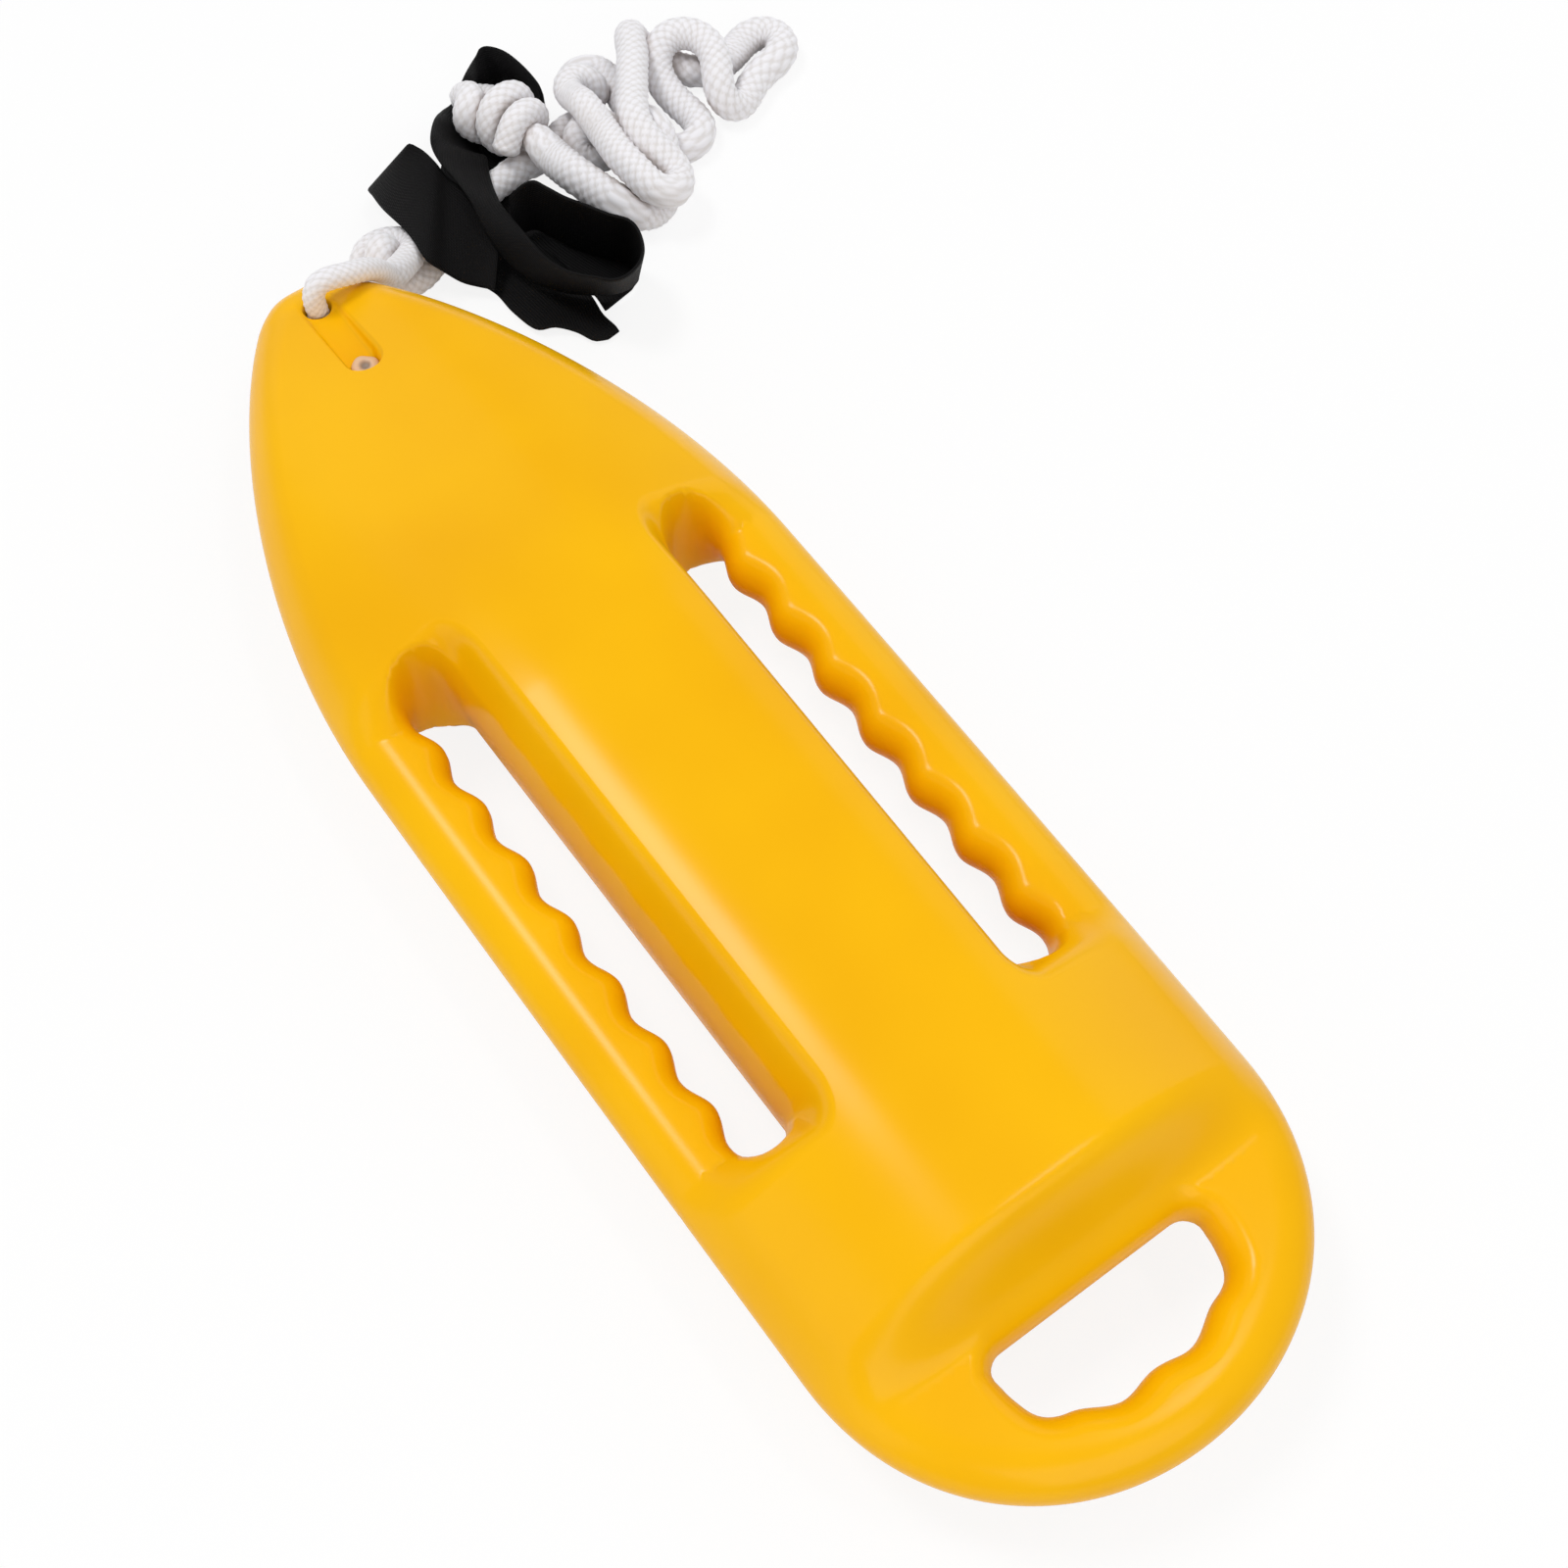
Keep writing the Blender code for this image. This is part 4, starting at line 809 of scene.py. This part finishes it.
slot = {
    "length": 0.278, "centre": -0.023, "inner": 0.060, "width": 0.0225, "end": 0.014,
    "splay": 0.0075, "pitch": 0.0357, "depth": 0.0026, "lean": 0.0115,
    "frontTurn": 0.018, "pocketFront": 0.020, "rearTurn": 0.007, "pocketRear": 0.019,
}
hand = {
    "bar": 0.0333, "depth": 0.0432, "width": 0.111, "sweep": 0.104, "corner": 0.010,
    "turn": 0.006, "fingerPitch": 0.038, "fingerDepth": 0.002,
    "edge": 0.010, "roundFrom": 0.024, "roundReach": 0.009, "roundBlend": 0.012,
    "frontBlend": 0.008, "fineStep": 0.001,
}
recess = {
    "level": 0.0705, "front": 0.345, "half": 0.0065, "slope": 0.0040, "hole": 0.0125,
}
seat = {
    "x": -0.200, "radius": 0.012, "depth": 0.0015, "wall": 0.00025,
}
net = {  # steps, rows and least gaps of the skin's points
    "outline": 0.0032, "slot": 0.0021, "recess": 0.0014, "field": 0.0034,
    "angles": (8, 18, 30, 42, 55, 70, 90), "pockets": (0.2, 0.45, 0.7, 0.85, 1.0, 1.15, 1.3, 1.6),
    "recessRows": (0.98, 1.3, 1.7, 2.1), "recessRow": 1.3, "seatPoints": 60,
    "edgeGap": 0.00035, "rowGap": 0.0011, "fieldGap": 0.0021, "wallShare": 0.5, "rowShare": 0.9,
    "probe": 0.0003, "nudge": 0.00006, "leastHeight": 0.0002,
}
mid = hull["height"] / 2
noseX, tailX, halfWide = hull["length"] / 2, -hull["length"] / 2, hull["width"] / 2
slotFront, slotRear = slot["centre"] + slot["length"] / 2, slot["centre"] - slot["length"] / 2
handFront = tailX + hand["bar"] + hand["depth"]
handHalf = hand["width"] / 2


def bezier(p0, p1, p2, p3, steps):
    t = np.linspace(0, 1, steps, endpoint=False)[:, None]
    corners = [np.array(p, float) for p in (p0, p1, p2, p3)]
    weights = ((1 - t) ** 3, 3 * (1 - t) ** 2 * t, 3 * (1 - t) * t * t, t ** 3)
    return sum(w * c for w, c in zip(weights, corners))


def halfOutline(steps=60):
    side = noseX - plan["noseTaper"]
    tip = (noseX - plan["tipLength"], plan["tipWidth"] / 2)
    tailSide = (tailX + plan["tailRound"], halfWide - plan["tailSideDrop"])
    legs = [
        ((tailX, 0), (tailX, plan["tailBluntness"]),
         (tailX + plan["tailShoulder"], halfWide - plan["tailShoulderDrop"]), tailSide),
        (tailSide, (tailX + 2 * plan["tailRound"], halfWide - plan["flankDrop"]),
         (side - plan["flankEase"], halfWide), (side, halfWide)),
        ((side, halfWide), (side + plan["noseShoulder"], halfWide),
         (tip[0] - plan["noseFlankRun"], tip[1] + plan["noseFlankRise"]), tip),
        (tip, (noseX, plan["tipCorner"]), (noseX, plan["tipFlat"]), (noseX, 0)),
    ]
    return np.vstack([bezier(*leg, steps) for leg in legs] + [[[noseX, 0]]])


edgeLine = halfOutline()


def outlineLoop():
    left = evenly(edgeLine, net["outline"], 2)
    return np.vstack([left, (left * [1, -1])[::-1][1:-1]])


def gripLine(x):
    return slot["splay"] * (np.asarray(x, float) - slot["centre"])


def slotLoop():
    mean = slot["inner"] + slot["width"]
    outer, inner, reach = mean + slot["depth"], slot["inner"], slot["end"]
    rear, front = slotRear + reach, slotFront - reach
    xs = np.arange(rear, front, net["slot"])
    straight = np.column_stack([xs, np.full(len(xs), inner)])
    turns = np.linspace(-math.pi / 2, math.pi / 2, 18)[:-1]
    middle, half = (inner + outer) / 2, (outer - inner) / 2
    frontEnd = np.column_stack([front + reach * np.cos(turns), middle + half * np.sin(turns)])
    xs = np.linspace(front, rear, round((front - rear) / net["slot"]))
    phase = 2 * math.pi * (xs - slot["centre"]) / slot["pitch"]
    wavy = np.column_stack([xs, outer - slot["depth"] - slot["depth"] * np.cos(phase)])
    rearEnd = np.column_stack([rear - reach * np.cos(turns[1:]), middle - half * np.sin(turns[1:])])
    loop = np.vstack([straight, frontEnd, wavy, rearEnd])
    loop[:, 1] += gripLine(loop[:, 0])
    return loop


def handLoop():
    front, half, corner = handFront, handHalf, hand["corner"]
    base = tailX + hand["bar"]
    rearTurn = half - hand["turn"]
    ys = np.arange(-half + corner, half - corner, net["slot"])
    straight = np.column_stack([np.full(len(ys), front), ys])
    quarter = np.linspace(0, math.pi / 2, 9)
    leftFront = np.column_stack([front - corner + corner * np.cos(quarter),
                                 half - corner + corner * np.sin(quarter)])
    ys = np.linspace(rearTurn, -rearTurn, round(2 * rearTurn / net["slot"]))
    dents = hand["fingerDepth"] * np.cos(2 * math.pi * ys / hand["fingerPitch"])
    rear = np.column_stack([base + ys ** 2 / (2 * hand["sweep"]) + dents, ys])
    rightFront = (leftFront * [1, -1])[::-1]
    loop = np.vstack([straight, leftFront, rear, rightFront[:-1]])
    loop = evenly(np.vstack([loop, loop[:1]]), hand["fineStep"], 2)[:-1]
    reach = round(hand["roundReach"] / hand["fineStep"])
    soft = sum(np.roll(loop, k, axis=0) for k in range(-reach, reach + 1)) / (2 * reach + 1)
    share = smoothStep((np.abs(loop[:, 1]) - half + hand["roundFrom"]) / hand["roundBlend"])
    share = share * smoothStep((front - corner / 2 - loop[:, 0]) / hand["frontBlend"])
    loop = loop + (soft - loop) * share[:, None]
    return evenly(np.vstack([loop, loop[:1]]), net["slot"], 2)[:-1]


def holeLoop(x, radius, count=36):
    turns = np.linspace(0, 2 * math.pi, count, endpoint=False)
    return np.column_stack([x + radius * np.cos(turns), radius * np.sin(turns)])


def edgeRise(distance, radius):
    t = np.clip(distance / radius, 0, 1)
    return np.sqrt(1 - (1 - t) ** 2)


def smoothMin(a, b, width):
    blend = np.clip(0.5 + 0.5 * (b - a) / width, 0, 1)
    return b * (1 - blend) + a * blend - width * blend * (1 - blend)


def loopDistance(points, loop):
    runs = np.roll(loop, -1, axis=0) - loop
    best = np.full(len(points), np.inf)
    for start, run in zip(loop, runs):
        along = np.clip((points - start) @ run / max(run @ run, 1e-12), 0, 1)
        off = points - start - along[:, None] * run
        best = np.minimum(best, off[:, 0] ** 2 + off[:, 1] ** 2)
    return np.sqrt(best)


def insideLoop(points, loop):
    x, y = points[:, 0], points[:, 1]
    odd = np.zeros(len(points), bool)
    for (x0, y0), (x1, y1) in zip(loop, np.roll(loop, -1, axis=0)):
        if y0 != y1:
            odd ^= ((y0 > y) != (y1 > y)) & (x < (x1 - x0) * (y - y0) / (y1 - y0) + x0)
    return odd


def dome(x, y):
    nose = np.clip((x - noseX + crown["noseSlope"]) / crown["noseSlope"], 0, 1)
    ridge = mid - (mid - crown["noseRidge"]) * nose ** crown["nosePower"]
    fall = smoothStep((tailX + crown["tailStart"] - x) / crown["tailSlope"])
    ridge = ridge - (ridge - hull["wing"]) * fall
    half = np.interp(x, edgeLine[:, 0], edgeLine[:, 1])
    plateau = crown["plateau"] / 2
    past = np.abs(y) - plateau
    past = (past + np.sqrt(past * past + crown["ridgeSoftness"] ** 2)) / 2
    across = np.clip(past / np.maximum(half - plateau, crown["leastFall"]), 0, 1)
    return hull["wing"] + np.maximum(ridge - hull["wing"], 0) * (1 - across ** crown["power"])


def pocketShare(x, y):
    side, power = np.abs(y), crown["corner"]
    lean = np.clip((slot["inner"] + gripLine(x) - side) / slot["lean"], 0, None)
    front = (x - slotFront + slot["frontTurn"]) / slot["pocketFront"]
    rear = (slotRear + slot["rearTurn"] - x) / slot["pocketRear"]
    ends = np.clip(np.maximum(front, rear), 0, None)
    return smoothMin((lean ** power + ends ** power) ** (1 / power), 1.0, crown["rimSoftness"])


def edgeRadii(points):
    side = np.abs(points[:, 1])
    inside = np.minimum(slotFront - points[:, 0], points[:, 0] - slotRear)
    grip = hull["gripEndShare"] + (1 - hull["gripEndShare"]) * smoothStep(inside / hull["gripEnd"])
    grip = grip * smoothStep((side - slot["inner"]) / hull["gripBlend"])
    slotEdge = hull["coreEdge"] + (hull["gripEdge"] - hull["coreEdge"]) * grip
    bar = smoothStep((handFront - points[:, 0]) / hull["barBlend"])
    handEdge = hand["edge"] + (hull["gripEdge"] - hand["edge"]) * bar
    outer = np.full(len(points), hull["edge"])
    hole = np.full(len(points), hull["holeEdge"])
    radii = (outer, slotEdge, slotEdge, handEdge, hole, hole)
    return [np.maximum(radius, hull["leastEdge"]) for radius in radii]


def skinHeight(points, loops):
    x, y = points[:, 0], points[:, 1]
    top = hull["wing"] + (dome(x, y) - hull["wing"]) * pocketShare(x, y)
    ends = np.clip(x, held["rearHole"], recess["front"])
    off = np.hypot(x - ends, y)
    cutShare = 1 - smoothStep((off - recess["half"]) / recess["slope"])
    top = top - np.maximum(top - (recess["level"] - mid), 0) * cutShare
    for loop, radius in zip(loops, edgeRadii(points)):
        top = top * edgeRise(loopDistance(points, loop), radius)
    return top


def loopNormals(loop):
    runs = np.roll(loop, -1, axis=0) - np.roll(loop, 1, axis=0)
    runs /= np.linalg.norm(runs, axis=1)[:, None]
    return np.column_stack([runs[:, 1], -runs[:, 0]])


def inwardNormals(loop, number):
    inward = loopNormals(loop)
    good = insideLoop(loop + net["probe"] * inward, loop) == (number == 0)
    inward[~good] *= -1
    return inward


def edgeRows(loops):
    rows = []
    for number, loop in enumerate(loops):
        inward = inwardNormals(loop, number)
        radius = edgeRadii(loop)[number]
        for angle in net["angles"]:
            depth = radius * (1 - math.cos(math.radians(angle)))
            row = loop + inward * depth[:, None]
            keep = np.ones(len(row), bool)
            for other in loops:
                keep &= loopDistance(row, other) > net["rowShare"] * depth
            rows.append(row[keep])
    return rows


def pocketRows():
    rows = []
    corner = np.linspace(0, math.pi / 2, 12)[:-1]
    power = 2 / crown["corner"]
    front, rear = slotFront - slot["frontTurn"], slotRear + slot["rearTurn"]
    for share in net["pockets"]:
        xs = np.arange(rear, front, net["slot"])
        ys = slot["inner"] + gripLine(xs) - share * slot["lean"]
        rows.append(np.column_stack([xs, ys]))
        for end, reach in ((front, slot["pocketFront"]), (rear, -slot["pocketRear"])):
            places = end + share * np.sin(corner) ** power * reach
            ys = slot["inner"] + gripLine(places) - share * slot["lean"] * np.cos(corner) ** power
            rows.append(np.column_stack([places, ys]))
            ys = np.arange(slot["inner"], halfWide, net["slot"])
            rows.append(np.column_stack([np.full(len(ys), end + share * reach), ys]))
    xs = np.arange(held["rearHole"], recess["front"], net["recess"])
    turns = np.linspace(0, math.pi / 2, 9)
    for off in net["recessRows"]:
        wide = recess["half"] * off / net["recessRow"]
        rows.append(np.column_stack([xs, np.full(len(xs), wide)]))
        for end, side in ((recess["front"], wide), (held["rearHole"], -wide)):
            rows.append(np.column_stack([end + side * np.sin(turns), wide * np.cos(turns)]))
    return rows + [row * [1, -1] for row in rows]


def fieldRows():
    rows = []
    step = net["field"]
    for number, y in enumerate(np.arange(-halfWide, halfWide, step * 0.866)):
        xs = np.arange(tailX + (number % 2) * step / 2, noseX, step)
        rows.append(np.column_stack([xs, np.full(len(xs), y)]))
    return rows


def thinOut(rows, gaps, loops):  # keep points inside the wall, none too near an earlier one
    cell = max(gaps)
    bins = {}
    kept = []
    for row, gap in zip(rows, gaps):
        good = insideLoop(row, loops[0])
        for hole in loops[1:]:
            good &= ~insideLoop(row, hole)
        row = row[good]
        for loop in loops:
            row = row[loopDistance(row, loop) > gap * net["wallShare"]]
        for x, y in row:
            i, j = int(x // cell), int(y // cell)
            near = False
            for a in (i - 1, i, i + 1):
                for b in (j - 1, j, j + 1):
                    for px, py in bins.get((a, b), ()):
                        if (px - x) ** 2 + (py - y) ** 2 < gap * gap:
                            near = True
            if not near:
                bins.setdefault((i, j), []).append((x, y))
                kept.append((x, y))
    return np.array(kept)


def planMesh(loops, free):
    edges, base = [], 0
    for loop in loops:
        count = len(loop)
        edges += [(base + k, base + (k + 1) % count) for k in range(count)]
        base += count
    fixed = np.vstack(loops)
    points = np.vstack([fixed, free])
    found = delaunay_2d_cdt([Vector(p) for p in points], edges, [], 0, 1e-7)
    origin = [group[0] for group in found[3]]
    faces = np.array([[origin[k] for k in face] for face in found[2]])
    centres = points[faces].mean(axis=1)
    keep = insideLoop(centres, loops[0])
    for hole in loops[1:]:
        keep &= ~insideLoop(centres, hole)
    faces = faces[keep]
    corners = points[faces]
    ab, ac = corners[:, 1] - corners[:, 0], corners[:, 2] - corners[:, 0]
    area = ab[:, 0] * ac[:, 1] - ab[:, 1] * ac[:, 0]
    faces = np.where(area[:, None] > 0, faces, faces[:, ::-1])
    return points, faces, len(fixed)


def makeFloat():
    loops = [outlineLoop(), slotLoop()]
    loops.append((loops[1] * [1, -1])[::-1])
    loops.append(handLoop())
    loops += [holeLoop(held[end], recess["hole"] / 2) for end in ("frontHole", "rearHole")]
    edges = edgeRows(loops)
    seatRings = []
    for grow in (0, seat["wall"]):
        seatRings.append(holeLoop(0, seat["radius"] + grow, net["seatPoints"]) + [seat["x"], 0])
    pockets, field = pocketRows(), fieldRows()
    rows = seatRings + edges + pockets + field
    gaps = [seat["wall"] / 2] * 2 + [net["edgeGap"]] * len(edges)
    gaps += [net["rowGap"]] * len(pockets) + [net["fieldGap"]] * len(field)
    points, faces, rim = planMesh(loops, thinOut(rows, gaps, loops))
    height = np.maximum(skinHeight(points, loops), net["leastHeight"])
    height[:rim] = 0
    nudge = net["nudge"]
    slopes = []
    for move in ((nudge, 0), (0, nudge)):
        rise = skinHeight(points + move, loops) - skinHeight(points - move, loops)
        slopes.append(rise / (2 * nudge))
    normals = np.column_stack([-slopes[0], -slopes[1], np.ones(len(points))])
    flat = np.vstack([-inwardNormals(loop, number) for number, loop in enumerate(loops)])
    normals[:rim] = np.column_stack([flat, np.zeros(rim)])
    normals /= np.linalg.norm(normals, axis=1)[:, None]
    sunk = np.hypot(points[:, 0] - seat["x"], points[:, 1]) < seat["radius"] + seat["wall"] / 2
    under = height - seat["depth"] * sunk
    above = np.column_stack([points, mid + height])
    below = np.column_stack([points, mid - under])[rim:]
    lower = np.where(faces < rim, faces, faces + len(points) - rim)[:, ::-1]
    made = addMesh("float", np.vstack([above, below]), np.vstack([faces, lower]), floatFinish)
    turned = np.vstack([normals, normals[rim:] * [1, 1, -1]])
    made.data.normals_split_custom_set_from_vertices([tuple(n) for n in turned])
    return made


floatBody = makeFloat()
print("float faces", len(floatBody.data.polygons))


# The melted end of the rope, a domed button with a dimple

button = {
    "radius": 0.00725, "height": 0.0033, "base": 0.0707, "sides": 56, "uneven": 0.0005,
    "spread": 0.96, "unevenWide": 0.6, "unevenHigh": 0.35,
    # from the foot over the rim to the dimple, as shares of the radius and the height
    "profile": ((0.86, 0.0), (1.0, 0.22), (0.99, 0.55), (0.86, 0.86), (0.62, 1.0), (0.40, 0.92),
                (0.22, 0.66), (0.0, 0.58)),
}


def makeButton():
    profile = catmull(button["profile"], 6)
    sides, middle = button["sides"], held["rearHole"]
    around = np.linspace(0, 2 * math.pi, sides, endpoint=False)
    wobble = (np.sin(3 * around + 0.6) + 0.6 * np.sin(5 * around + 2.1)) * button["uneven"]
    points = [(middle, 0, button["base"])]
    for wide, high in profile[:-1]:
        reach = wide * button["radius"] * button["spread"] + wobble * wide ** 2 * button["unevenWide"]
        lift = button["base"] + high * button["height"] + wobble * high * button["unevenHigh"] * wide
        points += list(zip(middle + reach * np.cos(around), reach * np.sin(around), lift))
    points.append((middle, 0, button["base"] + profile[-1][1] * button["height"]))
    faces = []
    rings = len(profile) - 1
    for k in range(sides):
        after = (k + 1) % sides
        faces.append((0, 1 + after, 1 + k))
        for ring in range(rings - 1):
            low, high = 1 + ring * sides, 1 + (ring + 1) * sides
            faces.append((low + k, low + after, high + after, high + k))
        top = 1 + (rings - 1) * sides
        faces.append((top + k, top + after, len(points) - 1))
    made = addMesh("meltedEnd", points, faces, endFinish)
    far = np.array([math.hypot(p[0] - middle, p[1]) for p in points])
    store(made, "middle", 1 - np.clip(far / button["radius"], 0, 1))
    return made


meltedButton = makeButton()
print("melted end made")


# Floor, backdrop and lights

studio = {
    "floorSize": 12.0,
    "floorGlow": 0.86,  # share of the floor that the camera sees as plain white
    "floor": {"Base Color": (0.90, 0.90, 0.90, 1), "Roughness": 0.9, "Specular IOR Level": 0.0},
    "world": 0.42,
}
lamps = (
    # name, direction from the float, distance, width across the float, height along it, brightness
    ("keyFrontLeft", (0.375, 0.185, 0.91), 5.0, 1.00, 1.55, 17.5),
    ("leftFill", (-0.10, 0.90, 0.45), 2.0, 1.60, 1.40, 0.8),
    ("rearFill", (-0.80, 0.10, 0.60), 2.0, 1.40, 1.20, 1.7),
    ("rightFill", (0.25, -0.80, 0.50), 2.0, 1.60, 1.40, 0.9),
    ("noseFill", (0.90, 0.0, 0.45), 2.0, 1.20, 1.20, 0.4),
    ("tailGlint", (-0.20, -0.27, 0.93), 3.0, 0.24, 0.80, 14.0),
)


def makeStudio():
    size = studio["floorSize"] / 2
    corners = [(-size, -size, 0), (size, -size, 0), (size, size, 0), (-size, size, 0)]
    floorFinish, nodes, links, shader = newMaterial("floorWhite")
    setInputs(shader, studio["floor"])
    glow = nodes.new("ShaderNodeEmission")
    glow.inputs["Strength"].default_value = 1.0
    rays = nodes.new("ShaderNodeLightPath")
    share = nodes.new("ShaderNodeMath")
    share.operation = "MULTIPLY"
    share.inputs[1].default_value = studio["floorGlow"]
    mix = nodes.new("ShaderNodeMixShader")
    links.new(rays.outputs["Is Camera Ray"], share.inputs[0])
    links.new(share.outputs["Value"], mix.inputs["Fac"])
    links.new(shader.outputs["BSDF"], mix.inputs[1])
    links.new(glow.outputs["Emission"], mix.inputs[2])
    links.new(mix.outputs["Shader"], nodes["Material Output"].inputs["Surface"])
    floor = addMesh("studioFloor", corners, [(0, 1, 2, 3)], floorFinish, smooth=False)
    world = bpy.data.worlds.new("studioWorld")
    world.use_nodes = True
    back = world.node_tree.nodes["Background"]
    setInputs(back, {"Color": (1, 1, 1, 1), "Strength": studio["world"]})
    bpy.context.scene.world = world
    for name, way, far, wide, high, brightness in lamps:
        data = bpy.data.lights.new(name, "AREA")
        data.shape = "RECTANGLE"
        data.size = wide
        data.size_y = high
        data.energy = brightness * math.pi * wide * high
        lamp = bpy.data.objects.new(name, data)
        bpy.context.scene.collection.objects.link(lamp)
        lamp.location = Vector(way).normalized() * far
        away = Vector(way).normalized()
        across = Vector((1, 0, 0)).cross(away).normalized()  # the height lies along the float
        lamp.rotation_euler = Matrix((across, away.cross(across), away)).transposed().to_euler()
    bpy.context.scene.view_settings.view_transform = "Standard"


makeStudio()
print("studio lit")


# Finish the foam and plug, attach the pieces to the root body and hide the parts they replace

nodes = frame["nodes"]
for name, finish in (("foam_core", foamFinish), ("fill_plug", plugFinish)):
    for place in nodes[name].material_slots:
        place.material = finish

for piece, replaced, slotName in (
        (floatBody, ("hull_shell",), "hull_yellow"),
        (towRope, ("tow_rope_lead", "tow_rope_hank"), "rope_white"),
        (heldRope, ("rope_anchor_run",), "rope_white"),
        (meltedButton, ("rope_end_collar",), "rope_end_tan"),
        (strapLoop, ("shoulder_strap_loop",), "webbing_black"),
        (strapTail, ("shoulder_strap_tail",), "webbing_black")):
    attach(piece, "root")
    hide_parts(*replaced)
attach(strapFold, "root")
